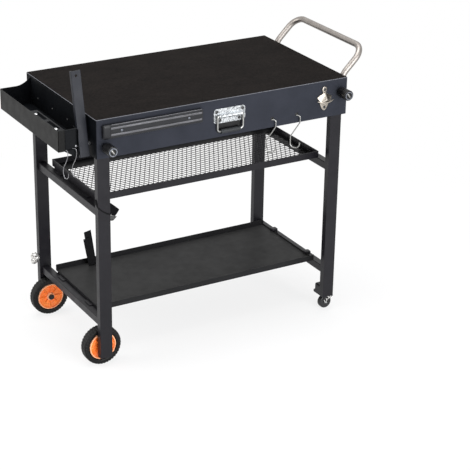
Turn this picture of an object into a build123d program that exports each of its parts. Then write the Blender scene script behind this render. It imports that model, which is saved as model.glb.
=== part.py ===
from build123d import *
import os
from math import cos, radians, sin

# Folding grill cart: a pressed steel table box on two folding leg frames, with a mesh
# shelf, a lower tray shelf, a push handle, a side tray with a towel arm, and wheels.
# Millimetres. +X runs to the handle end, -Y to the front, +Z up from the floor.

# Table box
table_l = 864.0
table_w = 500.0
table_h = 815.0
apron_h = 120.0
sheet = 1.5
corner_r = 4.0
edge_r = 2.5
apron_lip = 8.0

# Leg frames
leg_w = 40.0
leg_d = 20.0
tube_wall = 1.5
leg_end_gap = 8.0
leg_side_gap = 15.0
left_pivot_drop = 85.0
right_pivot_drop = 42.0
left_foot = 34.0
right_foot = 56.0
bar_size = 25.0
bar_corner_r = 2.0
upper_bar_top = 522.5
lower_bar_top = 160.0

# Pivots and their hand knobs
pivot_r = 5.0
run_fit = 0.05
face_gap = 0.2
seat_gap = 0.3
spacer_r = 11.0
bolt_head_r = 9.0
bolt_head_t = 5.0
knob_r = 16.5
knob_l = 53.0
knob_neck_r = 10.0
knob_neck_l = 14.0
knob_flutes = 12
flute_r = 2.2
ring_r = 13.0
ring_w = 3.0
ring_t = 1.5
stud_in_knob = 24.0

# Large wheels
wheel_r = 62.5
wheel_w = 34.0
rim_r = 44.0
rim_ring = 3.0
rim_dish = 4.0
hub_r = 13.0
axle_r = 6.0
wheel_gap = 3.0
tyre_inset = 1.0
tread_blocks = 26
tread_depth = 3.5
spokes = 8
spoke_w = 2.5
axle_cap_r = 9.0
axle_cap_t = 4.0

# Casters
caster_r = 22.0
caster_w = 18.0
caster_trail = 10.0
caster_inset = 15.0
bracket_w = 35.0
bracket_h = 32.0
bracket_t = 4.0
gusset_t = 3.0
boss_wall = 4.0
boss_h = 22.0
stem_r = 5.0
stem_l = 25.0
fork_plate_r = 12.0
fork_plate_t = 3.5
fork_gap = 0.7
cheek_t = 2.0
cheek_reach = 33.0
caster_axle_r = 3.0
pedal_x = 18.0
pedal_up = 20.0
pedal_pin_r = 1.8
pedal_hub_r = 3.3
pedal_l = 10.5
pedal_t = 4.0

# Shelves
shelf_l = 782.0
shelf_w = 330.0
mesh_frame_h = 22.0
mesh_frame_t = 2.0
mesh_flange = 14.0
mesh_t = 1.6
mesh_cols = 20
mesh_rows = 10
mesh_strand = 4.0
lower_lip_h = 18.5
end_lip_h = 6.0
shelf_sheet = 1.2
plate_gauge = 2.0
plate_wide = 40.0
plate_at = 100.0
plate_overlap = 12.5
plate_under = 30.0

# Push handle
handle_r = 10.0
handle_wall = 1.5
handle_half = 197.0
handle_stand = 2.0
handle_out = 81.0
handle_rise = 66.0
handle_knee_drop = 15.0
handle_tail = 88.0
handle_bend_r = 45.0
knee_bend_r = 60.0
saddle_w = 34.0
saddle_l = 72.0
handle_bolt_r = 3.0
handle_bolt_head_r = 6.0
handle_bolt_head_t = 4.0
handle_bolt_apart = 40.0
handle_bolt_drop = 65.0

# Side tray and towel arm
tray_out = 103.0
tray_side_gap = 36.0
tray_top_drop = 28.0
tray_h = 64.5
tray_sheet = 1.2
tray_corner_r = 18.0
tray_flare = 42.0
tray_flare_sag = 5.0
tray_slot_w = 14.0
tray_slot_h = 7.0
tray_slot_drop = 12.0
tray_slot_y = (-50.0, -180.0)
arm_slot = 44.0
arm_slot_deep = 26.0
ear_h = 28.0
arm_w = 30.0
arm_t = 2.0
arm_flange = 12.0
arm_web_front = 7.0
arm_below = 36.0
arm_above = 215.0
arm_lean = 12.0
arm_pivot_in = 9.0
arm_pivot_up = 8.5
arm_bolt_r = 3.0
arm_bolt_head_r = 6.0
arm_bolt_head_t = 3.5
arm_sleeve_r = 5.5
arm_hole_r = 4.0
arm_hole_down = 14.0

# Front fittings
tool_bar_l = 327.0
tool_bar_h = 42.0
tool_bar_t = 12.0
tool_bar_x = -251.5
tool_bar_drop = 38.0
tool_bar_screws = (-104.5, 116.5)
rail_h = 6.0
rail_apart = 20.0
rail_deep = 3.0
rail_proud = 1.5
rail_end = 5.0
plate_x = 8.0
plate_w = 108.0
plate_h = 46.0
plate_t = 2.0
plate_top_drop = 30.0
plate_corner_r = 9.0
barrel_r = 5.5
barrel_l = 80.0
barrel_drop = 23.0
bail_r = 3.0
bail_half = 44.0
bail_pin_in = 16.0
bail_drop = 47.0
bail_bend_r = 9.0
grip_r = 7.0
grip_l = 66.0
opener_from_end = 86.0
opener_tab_r = 10.0
opener_tab_drop = 27.0
opener_tab_apart = 57.0
opener_t = 4.0
opener_box_w = 44.0
opener_box_h = 30.0
opener_box_t = 20.0
opener_wall = 4.0
opener_lip_w = 56.0
opener_lip_t = 6.0
screw_r = 4.0
screw_t = 2.0
screw_taper = 35.0

# Hanging hooks
wire_r = 1.75
hook_hole_r = 5.6
hook_turn = 45.0
hook_rear = -9.0
hook_front = 12.0
hook_left = -17.0
hook_tail = 18.0
hook_knee = 22.0
hook_waist = 70.0
hook_bottom = 107.0
hook_tip_up = 19.0
hook_top_r = 7.0
hook_knee_r = 15.0
hook_bottom_r = 13.0
front_hook_x = (160.0, 248.0)
front_hook_drop = 96.0
tray_hook_in = (23.0, 51.0)
tray_hook_up = 22.5

# Straps and wing screw
strap_t = 1.8
strap_w = 20.0
strap_loose = 0.2
strap_lift = 4.0
shelf_strap_x = -290.0
shelf_strap_y = 146.0
shelf_strap_w = 33.0
shelf_strap_h = 86.0
shelf_strap_foot = 22.0
shelf_strap_lean = 8.0
wing_z = 190.0
wing_stud_r = 3.0
wing_hub_r = 8.0
wing_hub_l = 10.0
wing_span = 19.0
wing_reach = 24.0
wing_t = 6.0

# Worked out from the sizes above
end_x = table_l / 2
front_y = table_w / 2
pan_bottom = table_h - apron_h
opener_x = end_x - opener_from_end
tray_half = front_y - tray_side_gap
pivot_x = end_x - leg_end_gap - leg_w / 2
leg_outer_y = front_y - leg_side_gap
leg_y = leg_outer_y - leg_d / 2
leg_inner_y = leg_outer_y - leg_d
left_pivot_z = table_h - left_pivot_drop
right_pivot_z = table_h - right_pivot_drop
wheel_y = leg_inner_y - wheel_gap - wheel_w / 2
caster_y = leg_inner_y - caster_inset
handle_x = end_x + handle_stand + handle_r
handle_reach = handle_x + handle_out + handle_r
handle_bolt_z = table_h - handle_bolt_drop
tray_reach = end_x + tray_out
front_reach = front_y + knob_l
back_reach = front_y + bolt_head_t
tray_floor = table_h - tray_top_drop - tray_h
arm_x = -(end_x + arm_slot / 2)
arm_y = -(tray_half - arm_pivot_in)
arm_z = tray_floor + arm_pivot_up
barrel_z = table_h - plate_top_drop - barrel_drop
barrel_y = -(front_y + plate_t + barrel_r)
hook_hole_up = hook_hole_r - wire_r - seat_gap
tray_hook_x = [-(end_x + tray_out - inset) for inset in tray_hook_in]
right_plate_t = plate_gauge + seat_gap

# The origin is on the floor below the middle of the whole cart
to_origin = Location(((tray_reach - handle_reach) / 2, (front_reach - back_reach) / 2, 0))

low = (Align.CENTER, Align.CENTER, Align.MIN)
high = (Align.CENTER, Align.CENTER, Align.MAX)

os.makedirs("parts", exist_ok=True)


def save(piece, name, place=Plane.XY):
    """Set a finished piece on its plane, move it into the cart's frame and write it."""
    placed = piece.part.moved(to_origin * place.location)
    placed.label = name
    export_step(placed, f"parts/{name}.step")
    print(name, len(placed.solids()), round(placed.volume))


def front_plane(x, z, out=0.0):
    """Plane facing the front, on the front apron or standing out from it."""
    return Plane(origin=(x, -front_y - out, z), x_dir=(1, 0, 0), z_dir=(0, -1, 0))


def at_y(y):
    """Upright plane along the cart at one depth, seen from the front."""
    return Plane.XZ.offset(-y)


# Table box: a pan pressed from one sheet, lipped along both long aprons
with BuildPart() as table_top:
    with BuildSketch(Plane.XY.offset(table_h)):
        RectangleRounded(table_l, table_w, corner_r)
    extrude(amount=-apron_h)
    fillet(table_top.faces().sort_by(Axis.Z)[-1].edges(), edge_r)
    with BuildSketch(Plane.XY.offset(table_h - sheet)):
        RectangleRounded(table_l - 2 * sheet, table_w - 2 * sheet, corner_r - sheet)
    extrude(amount=-apron_h, mode=Mode.SUBTRACT)
    with BuildSketch(Plane.XY.offset(pan_bottom)):
        with GridLocations(0, table_w - 2 * sheet - apron_lip, 1, 2):
            Rectangle(table_l - 2 * corner_r, apron_lip)
    extrude(amount=sheet)
    with BuildSketch(at_y(0)):
        with Locations((-pivot_x, left_pivot_z), (pivot_x, right_pivot_z)):
            Circle(pivot_r + run_fit)
    extrude(amount=table_w, both=True, mode=Mode.SUBTRACT)
    with BuildSketch(at_y(-front_y + 2 * sheet)):
        with Locations([(x, table_h - front_hook_drop + hook_hole_up) for x in front_hook_x]):
            Circle(hook_hole_r)
    extrude(amount=3 * sheet, mode=Mode.SUBTRACT)
    with BuildSketch(Plane.YZ.offset(-end_x - sheet)):
        with Locations((arm_y, arm_z)):
            Circle(arm_bolt_r + run_fit)
    extrude(amount=3 * sheet, mode=Mode.SUBTRACT)
    with BuildSketch(Plane.YZ.offset(end_x - 2 * sheet)):
        with Locations((0, handle_bolt_z)):
            with GridLocations(2 * handle_half, handle_bolt_apart, 2, 2):
                Circle(handle_bolt_r + run_fit)
    extrude(amount=3 * sheet, mode=Mode.SUBTRACT)
save(table_top, "table_top")

# Spacers that hold the legs off the aprons, one around each pivot
with BuildPart() as pivot_spacers:
    spacer_l = leg_side_gap - sheet - face_gap
    for side in (-1, 1):
        with BuildSketch(at_y(side * (front_y - sheet - spacer_l / 2))):
            with Locations((-pivot_x, left_pivot_z), (pivot_x, right_pivot_z)):
                Circle(spacer_r)
                Circle(pivot_r + run_fit, mode=Mode.SUBTRACT)
        extrude(amount=spacer_l / 2, both=True)
save(pivot_spacers, "pivot_spacers")

# Plain pivot bolts at the back
with BuildPart() as pivot_bolts:
    with BuildSketch(at_y(front_y)):
        with Locations((-pivot_x, left_pivot_z), (pivot_x, right_pivot_z)):
            RegularPolygon(bolt_head_r, 6)
    extrude(amount=-bolt_head_t)
    with BuildSketch(at_y(front_y)):
        with Locations((-pivot_x, left_pivot_z), (pivot_x, right_pivot_z)):
            Circle(pivot_r)
    extrude(amount=front_y - leg_inner_y)
save(pivot_bolts, "back_pivot_bolts")


def make_knob(name, x, z):
    """Fluted hand knob on a neck, its bright face ring, and the pivot stud that it turns."""
    place = front_plane(x, z)
    with BuildPart() as knob:
        with BuildSketch(Plane.XZ):
            with BuildLine():
                Polyline(
                    (0, 0),
                    (knob_neck_r, 0),
                    (knob_neck_r, knob_neck_l / 2),
                    (knob_r, knob_neck_l),
                    (knob_r, knob_l - ring_t),
                    (0, knob_l - ring_t),
                    close=True,
                )
            make_face()
        revolve(axis=Axis.Z)
        fillet(knob.faces().sort_by(Axis.Z)[-1].edges(), ring_t)
        with Locations((0, 0, knob_neck_l)):
            with PolarLocations(knob_r + flute_r / 2, knob_flutes):
                Cylinder(flute_r, knob_l, align=low, mode=Mode.SUBTRACT)
        Cylinder(pivot_r + run_fit, stud_in_knob, align=low, mode=Mode.SUBTRACT)
    save(knob, f"{name}_knob", place)
    with BuildPart() as ring:
        with BuildSketch(Plane.XY.offset(knob_l - ring_t)):
            Circle(ring_r)
            Circle(ring_r - ring_w, mode=Mode.SUBTRACT)
        extrude(amount=ring_t)
    save(ring, f"{name}_knob_ring", place)
    with BuildPart() as stud:
        with Locations((0, 0, stud_in_knob)):
            Cylinder(pivot_r, stud_in_knob + front_y - leg_inner_y, align=high)
    save(stud, f"{name}_knob_stud", place)


make_knob("left", -pivot_x, left_pivot_z)
make_knob("right", pivot_x, right_pivot_z)


def make_leg(name, end, side, pivot_z, foot_z):
    """Rectangular tube leg, rounded over its pivot and closed at the foot."""
    x = end * pivot_x
    long = pivot_z - foot_z
    with BuildPart() as leg:
        with BuildSketch(at_y(side * leg_y)):
            with Locations((x, foot_z + long / 2)):
                Rectangle(leg_w, long)
            with Locations((x, pivot_z)):
                Circle(leg_w / 2)
        extrude(amount=leg_d / 2, both=True)
        with BuildSketch(at_y(side * leg_y)):
            with Locations((x, foot_z + tube_wall + long / 2)):
                Rectangle(leg_w - 2 * tube_wall, long)
            with Locations((x, pivot_z)):
                Circle(leg_w / 2 - tube_wall)
        extrude(amount=leg_d / 2 - tube_wall, both=True, mode=Mode.SUBTRACT)
        with BuildSketch(at_y(side * leg_y)):
            with Locations((x, pivot_z)):
                Circle(pivot_r + run_fit)
        extrude(amount=leg_d, both=True, mode=Mode.SUBTRACT)
        if end < 0:
            with BuildSketch(at_y(side * leg_y)):
                with Locations((x, wheel_r)):
                    Circle(axle_r + run_fit)
            extrude(amount=side * leg_d, mode=Mode.SUBTRACT)
        if end < 0 and side > 0:
            with BuildSketch(Plane.YZ.offset(x - leg_w)):
                with Locations((side * leg_y, wing_z)):
                    Circle(wing_stud_r + run_fit)
            extrude(amount=leg_w, mode=Mode.SUBTRACT)
    save(leg, name)


make_leg("left_front_leg", -1, -1, left_pivot_z, left_foot)
make_leg("left_back_leg", -1, 1, left_pivot_z, left_foot)
make_leg("right_front_leg", 1, -1, right_pivot_z, right_foot)
make_leg("right_back_leg", 1, 1, right_pivot_z, right_foot)


def make_bar(name, end, top):
    """Square tube crossbar welded between the two legs of one frame."""
    with BuildPart() as bar:
        with BuildSketch(at_y(0)):
            with Locations((end * pivot_x, top - bar_size / 2)):
                RectangleRounded(bar_size, bar_size, bar_corner_r)
                Rectangle(bar_size - 2 * tube_wall, bar_size - 2 * tube_wall, mode=Mode.SUBTRACT)
        extrude(amount=leg_inner_y, both=True)
    save(bar, name)


make_bar("left_upper_bar", -1, upper_bar_top)
make_bar("left_lower_bar", -1, lower_bar_top)
make_bar("right_upper_bar", 1, upper_bar_top)
make_bar("right_lower_bar", 1, lower_bar_top)

# Stub axles from the inner walls of the left legs, with a spacer and an end cap each
with BuildPart() as axles:
    cap_y = leg_inner_y - wheel_gap - wheel_w - face_gap
    for side in (-1, 1):
        with BuildSketch(at_y(side * leg_y)):
            with Locations((-pivot_x, wheel_r)):
                Circle(axle_r)
        extrude(amount=side * (leg_y - cap_y))
        with BuildSketch(at_y(side * leg_inner_y)):
            with Locations((-pivot_x, wheel_r)):
                Circle(axle_cap_r)
        extrude(amount=side * (wheel_gap - face_gap))
        with BuildSketch(at_y(side * cap_y)):
            with Locations((-pivot_x, wheel_r)):
                Circle(axle_cap_r)
        extrude(amount=side * axle_cap_t)
save(axles, "wheel_axles")


def make_wheel(name, side):
    """Dished moulded hub with a rim ring and low ribs, in a block-tread tyre."""
    place = Plane(origin=(-pivot_x, side * wheel_y, wheel_r), x_dir=(1, 0, 0), z_dir=(0, side, 0))
    with BuildPart() as tyre:
        with BuildSketch(Plane.XZ) as section:
            with Locations(((rim_r + wheel_r) / 2, 0)):
                Rectangle(wheel_r - rim_r, wheel_w - 2 * tyre_inset)
            fillet(section.vertices().group_by(Axis.X)[-1], wheel_w / 4)
        revolve(axis=Axis.Z)
        for way, start in ((low, 0), (high, 180 / tread_blocks)):
            with PolarLocations(wheel_r, tread_blocks, start_angle=start):
                Box(2 * tread_depth, tread_depth, wheel_w, align=way, mode=Mode.SUBTRACT)
    save(tyre, f"{name}_tyre", place)
    half = wheel_w / 2 - tyre_inset
    with BuildPart() as hub:
        Cylinder(rim_r, 2 * (half - rim_dish))
        with BuildSketch():
            Circle(rim_r)
            Circle(rim_r - rim_ring, mode=Mode.SUBTRACT)
        extrude(amount=half, both=True)
        with BuildSketch():
            with PolarLocations((rim_r + hub_r - rim_ring) / 2, spokes):
                Rectangle(rim_r - hub_r, spoke_w)
        extrude(amount=half - rim_dish / 2, both=True)
        Cylinder(hub_r, wheel_w)
        Cylinder(axle_r + run_fit, wheel_w, mode=Mode.SUBTRACT)
    save(hub, f"{name}_hub", place)


make_wheel("front", -1)
make_wheel("back", 1)

# Hook-and-loop strap wound round the front left leg, just above the upper crossbar
with BuildPart() as leg_strap:
    with BuildSketch(Plane.XY.offset(upper_bar_top + strap_lift)):
        with Locations((-pivot_x, -leg_y)):
            hollow = (leg_w + 2 * strap_loose, leg_d + 2 * strap_loose)
            RectangleRounded(hollow[0] + 2 * strap_t, hollow[1] + 2 * strap_t, 2 * strap_t)
            Rectangle(hollow[0], hollow[1], mode=Mode.SUBTRACT)
    extrude(amount=strap_w)
save(leg_strap, "leg_strap")

# Wing screw in the outer face of the back left leg
with BuildPart() as wing_screw:
    with BuildSketch(Plane.XY):
        Circle(wing_hub_r)
    extrude(amount=wing_hub_l)
    with BuildSketch(Plane.XZ):
        with BuildLine():
            Polyline(
                (0, 0),
                (wing_hub_r, 0),
                (wing_span, wing_reach - wing_hub_r),
                (wing_span - wing_t, wing_reach),
                (0, wing_hub_l),
                close=True,
            )
        make_face()
        mirror(about=Plane.YZ)
    extrude(amount=wing_t / 2, both=True)
    with BuildSketch(Plane.XY):
        Circle(wing_stud_r)
    extrude(amount=-leg_w / 2)
wing_plane = Plane(
    origin=(-pivot_x - leg_w / 2 - face_gap, leg_y, wing_z), x_dir=(0, 0, 1), z_dir=(-1, 0, 0)
)
save(wing_screw, "wing_screw", wing_plane)

# Folded brackets inside the feet of the right legs, each with a boss for a caster stem
with BuildPart() as brackets:
    for side in (-1, 1):
        mid_y = side * (leg_inner_y - bracket_w / 2)
        with Locations((pivot_x, mid_y, right_foot)):
            Box(leg_w, bracket_w, bracket_t, align=low)
        with Locations((pivot_x, side * (leg_inner_y - gusset_t / 2), right_foot)):
            Box(leg_w, gusset_t, bracket_h, align=low)
        with Locations((pivot_x, side * caster_y, right_foot)):
            Cylinder(stem_r + boss_wall, bracket_t + boss_h, align=low)
        for x in (pivot_x - leg_w / 2, pivot_x + leg_w / 2 - gusset_t):
            with BuildSketch(Plane.YZ.offset(x)):
                with BuildLine():
                    Polyline(
                        (side * leg_inner_y, right_foot),
                        (side * (leg_inner_y - bracket_w), right_foot),
                        (side * (leg_inner_y - bracket_w), right_foot + 2 * bracket_t),
                        (side * leg_inner_y, right_foot + bracket_h),
                        close=True,
                    )
                make_face()
            extrude(amount=gusset_t)
        with Locations((pivot_x, side * caster_y, right_foot)):
            Cylinder(stem_r + run_fit, 3 * bracket_h, mode=Mode.SUBTRACT)
save(brackets, "caster_brackets")


def make_caster(name, side):
    """Swivel fork on a stem, its pins, the small wheel, and a brake pedal behind the wheel."""
    place = Plane(origin=(pivot_x, side * caster_y, 0))
    fork_top = right_foot - face_gap
    cheek_in = caster_w / 2 + fork_gap
    pin_x = caster_trail + pedal_x
    pin_z = caster_r + pedal_up
    with BuildPart() as fork:
        with BuildSketch(Plane.XY.offset(fork_top)):
            Circle(fork_plate_r)
            Rectangle(caster_trail + pedal_x / 2, 2 * (cheek_in + cheek_t), align=(Align.MIN, Align.CENTER))
        extrude(amount=-fork_plate_t)
        with BuildSketch(Plane.XY.offset(fork_top)):
            Circle(stem_r)
        extrude(amount=stem_l)
        for cheek in (-1, 1):
            with BuildSketch(at_y(cheek * (cheek_in + cheek_t / 2))):
                with BuildLine():
                    Polyline(
                        (0, fork_top),
                        (caster_trail - 2 * caster_axle_r, caster_r),
                        (caster_trail + 2 * caster_axle_r, caster_r),
                        (cheek_reach, pin_z - pedal_hub_r),
                        (cheek_reach, fork_top - fork_plate_t),
                        (caster_trail + pedal_x / 2, fork_top),
                        close=True,
                    )
                make_face()
                with Locations((caster_trail, caster_r)):
                    Circle(2 * caster_axle_r)
                with Locations((caster_trail, caster_r)):
                    Circle(caster_axle_r, mode=Mode.SUBTRACT)
                with Locations((pin_x, pin_z)):
                    Circle(pedal_pin_r, mode=Mode.SUBTRACT)
            extrude(amount=cheek_t / 2, both=True)
    save(fork, f"{name}_caster_fork", place)
    with BuildPart() as pins:
        with BuildSketch(at_y(0)):
            with Locations((caster_trail, caster_r)):
                Circle(caster_axle_r)
            with Locations((pin_x, pin_z)):
                Circle(pedal_pin_r)
        extrude(amount=cheek_in + cheek_t, both=True)
    save(pins, f"{name}_caster_pins", place)
    with BuildPart() as wheel:
        with BuildSketch(Plane.XZ) as section:
            with Locations((caster_r / 2, 0)):
                Rectangle(caster_r, caster_w)
            fillet(section.vertices().group_by(Axis.X)[-1], caster_w / 5)
        revolve(axis=Axis.Z)
        Cylinder(caster_axle_r + run_fit, caster_w, mode=Mode.SUBTRACT)
    axle_plane = Plane(
        origin=(pivot_x + caster_trail, side * caster_y, caster_r), x_dir=(1, 0, 0), z_dir=(0, 1, 0)
    )
    save(wheel, f"{name}_caster_wheel", axle_plane)
    with BuildPart() as pedal:
        with BuildSketch(at_y(0)):
            with Locations((pin_x, pin_z)):
                Circle(pedal_hub_r)
                Rectangle(pedal_l, pedal_t, align=(Align.MIN, Align.MAX))
                Circle(pedal_pin_r + run_fit, mode=Mode.SUBTRACT)
        extrude(amount=caster_w / 2, both=True)
    save(pedal, f"{name}_brake_pedal", place)


make_caster("front", -1)
make_caster("back", 1)

# Hook plates of both shelves at the left, lying on the crossbars below the shelves
plate_reach = pivot_x - bar_size / 2 + plate_overlap
plate_start = shelf_l / 2 - plate_under
plate_mid = (plate_reach + plate_start) / 2
with BuildPart() as left_plates:
    for bar_top in (upper_bar_top, lower_bar_top):
        with BuildSketch(Plane.XY.offset(bar_top + seat_gap)):
            with Locations((-plate_mid, -plate_at), (-plate_mid, plate_at)):
                RectangleRounded(plate_reach - plate_start, plate_wide, corner_r)
        extrude(amount=plate_gauge)
save(left_plates, "left_shelf_hooks")


def make_right_plates(name, bar_top):
    """Two hook plates under the right end of one shelf."""
    with BuildPart() as plates:
        with BuildSketch(Plane.XY.offset(bar_top + seat_gap)):
            with Locations((plate_mid, -plate_at), (plate_mid, plate_at)):
                RectangleRounded(plate_reach - plate_start, plate_wide, corner_r)
        extrude(amount=right_plate_t)
    save(plates, name)


make_right_plates("mesh_shelf_hooks", upper_bar_top)
make_right_plates("lower_shelf_hooks", lower_bar_top)

# Angle frame of the mesh shelf
mesh_z = upper_bar_top + seat_gap + right_plate_t
with BuildPart() as mesh_frame:
    with BuildSketch(Plane.XY.offset(mesh_z)):
        Rectangle(shelf_l, shelf_w)
        Rectangle(shelf_l - 2 * mesh_flange, shelf_w - 2 * mesh_flange, mode=Mode.SUBTRACT)
    extrude(amount=mesh_frame_t)
    with BuildSketch(Plane.XY.offset(mesh_z)):
        Rectangle(shelf_l, shelf_w)
        Rectangle(shelf_l - 2 * mesh_frame_t, shelf_w - 2 * mesh_frame_t, mode=Mode.SUBTRACT)
    extrude(amount=mesh_frame_h)
save(mesh_frame, "mesh_shelf_frame")

# Expanded metal panel: one sheet with staggered diamond gaps
panel_l = shelf_l - 2 * mesh_frame_t - 2 * face_gap
panel_w = shelf_w - 2 * mesh_frame_t - 2 * face_gap
pitch_x = (panel_l - 2 * mesh_flange) / mesh_cols
pitch_y = (panel_w - 2 * mesh_flange) / (mesh_rows + 1)
with BuildPart() as mesh_panel:
    with BuildSketch(Plane.XY.offset(mesh_z + mesh_frame_t)):
        Rectangle(panel_l, panel_w)
        for shift_y, cols in ((-pitch_y / 2, mesh_cols), (pitch_y / 2, mesh_cols - 1)):
            with Locations((0, shift_y)):
                with GridLocations(pitch_x, 2 * pitch_y, cols, mesh_rows // 2):
                    Polygon(
                        (-pitch_x / 2 + mesh_strand, 0),
                        (0, -pitch_y + mesh_strand),
                        (pitch_x / 2 - mesh_strand, 0),
                        (0, pitch_y - mesh_strand),
                        mode=Mode.SUBTRACT,
                    )
    extrude(amount=mesh_t)
save(mesh_panel, "mesh_panel")

# Lower shelf: a shallow sheet tray, its lips lower at the ends
lower_z = lower_bar_top + seat_gap + right_plate_t
with BuildPart() as lower_shelf:
    with BuildSketch(Plane.XY.offset(lower_z)):
        RectangleRounded(shelf_l, shelf_w, corner_r)
    extrude(amount=lower_lip_h)
    with BuildSketch(Plane.XY.offset(lower_z + shelf_sheet)):
        RectangleRounded(shelf_l - 2 * shelf_sheet, shelf_w - 2 * shelf_sheet, corner_r - shelf_sheet)
    extrude(amount=lower_lip_h, mode=Mode.SUBTRACT)
    with Locations((0, 0, lower_z + end_lip_h)):
        Box(
            shelf_l,
            shelf_w - 2 * (shelf_sheet + corner_r),
            lower_lip_h,
            align=(Align.CENTER, Align.CENTER, Align.MIN),
            mode=Mode.SUBTRACT,
        )
save(lower_shelf, "lower_shelf")

# Loose strap standing on the lower shelf, its foot folded on the floor
with BuildPart() as shelf_strap:
    with BuildSketch(Plane.YZ.offset(shelf_strap_x)):
        with BuildLine() as strap_line:
            foot_y = shelf_strap_y - shelf_strap_foot
            strap_z = lower_z + shelf_sheet
            Polyline(
                (foot_y, strap_z),
                (shelf_strap_y, strap_z),
                (shelf_strap_y - shelf_strap_lean / 2, strap_z + shelf_strap_h / 2),
                (shelf_strap_y - shelf_strap_lean * 2, strap_z + shelf_strap_h),
                (shelf_strap_y - shelf_strap_lean * 2 - strap_t, strap_z + shelf_strap_h),
                (shelf_strap_y - shelf_strap_lean / 2 - strap_t, strap_z + shelf_strap_h / 2),
                (shelf_strap_y - strap_t, strap_z + strap_t),
                (foot_y, strap_z + strap_t),
                close=True,
            )
        make_face()
    extrude(amount=shelf_strap_w / 2, both=True)
save(shelf_strap, "shelf_strap")

# Push handle: one bent tube, its feet bolted to the right end of the box
knee_z = table_h - handle_knee_drop
foot_z = knee_z - handle_tail
grip_z = table_h + handle_rise
with BuildPart() as push_handle:
    with BuildLine() as handle_path:
        FilletPolyline(
            (handle_x, handle_half, foot_z),
            (handle_x, handle_half, knee_z),
            (handle_x + handle_out, handle_half, grip_z),
            (handle_x + handle_out, -handle_half, grip_z),
            (handle_x, -handle_half, knee_z),
            (handle_x, -handle_half, foot_z),
            radius=(knee_bend_r, handle_bend_r, handle_bend_r, knee_bend_r),
        )
    with BuildSketch(Plane(origin=(handle_x, handle_half, foot_z))):
        Circle(handle_r)
        Circle(handle_r - handle_wall, mode=Mode.SUBTRACT)
    sweep()
    with BuildSketch(Plane.YZ.offset(end_x)):
        with Locations((0, handle_bolt_z)):
            with GridLocations(2 * handle_half, handle_bolt_apart, 2, 2):
                Circle(handle_bolt_r + run_fit)
    extrude(amount=4 * handle_r, mode=Mode.SUBTRACT)
save(push_handle, "push_handle")

# Grooved saddles between the handle's feet and the box
with BuildPart() as saddles:
    with Locations((end_x, -handle_half, handle_bolt_z), (end_x, handle_half, handle_bolt_z)):
        Box(handle_stand + handle_r, saddle_w, saddle_l, align=(Align.MIN, Align.CENTER, Align.CENTER))
    fillet(saddles.edges().filter_by(Axis.Z).group_by(Axis.X)[-1], corner_r / 2)
    with BuildSketch(Plane.XY.offset(foot_z)):
        with Locations((handle_x, -handle_half), (handle_x, handle_half)):
            Circle(handle_r + run_fit)
    extrude(amount=2 * saddle_l, mode=Mode.SUBTRACT)
    with BuildSketch(Plane.YZ.offset(end_x)):
        with Locations((0, handle_bolt_z)):
            with GridLocations(2 * handle_half, handle_bolt_apart, 2, 2):
                Circle(handle_bolt_r + run_fit)
    extrude(amount=handle_r, mode=Mode.SUBTRACT)
save(saddles, "handle_saddles")

# Bolts through the handle's feet, with nuts inside the box
with BuildPart() as handle_bolts:
    nut_x = end_x - sheet
    head_x = handle_x + handle_r
    for x, size, long in (
        (head_x, handle_bolt_head_r, handle_bolt_head_t),
        (nut_x, handle_bolt_head_r, -handle_bolt_head_t),
        (nut_x, handle_bolt_r, head_x - nut_x),
    ):
        with BuildSketch(Plane.YZ.offset(x)):
            with Locations((0, handle_bolt_z)):
                with GridLocations(2 * handle_half, handle_bolt_apart, 2, 2):
                    Circle(size)
        extrude(amount=long)
save(handle_bolts, "handle_bolts")

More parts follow.
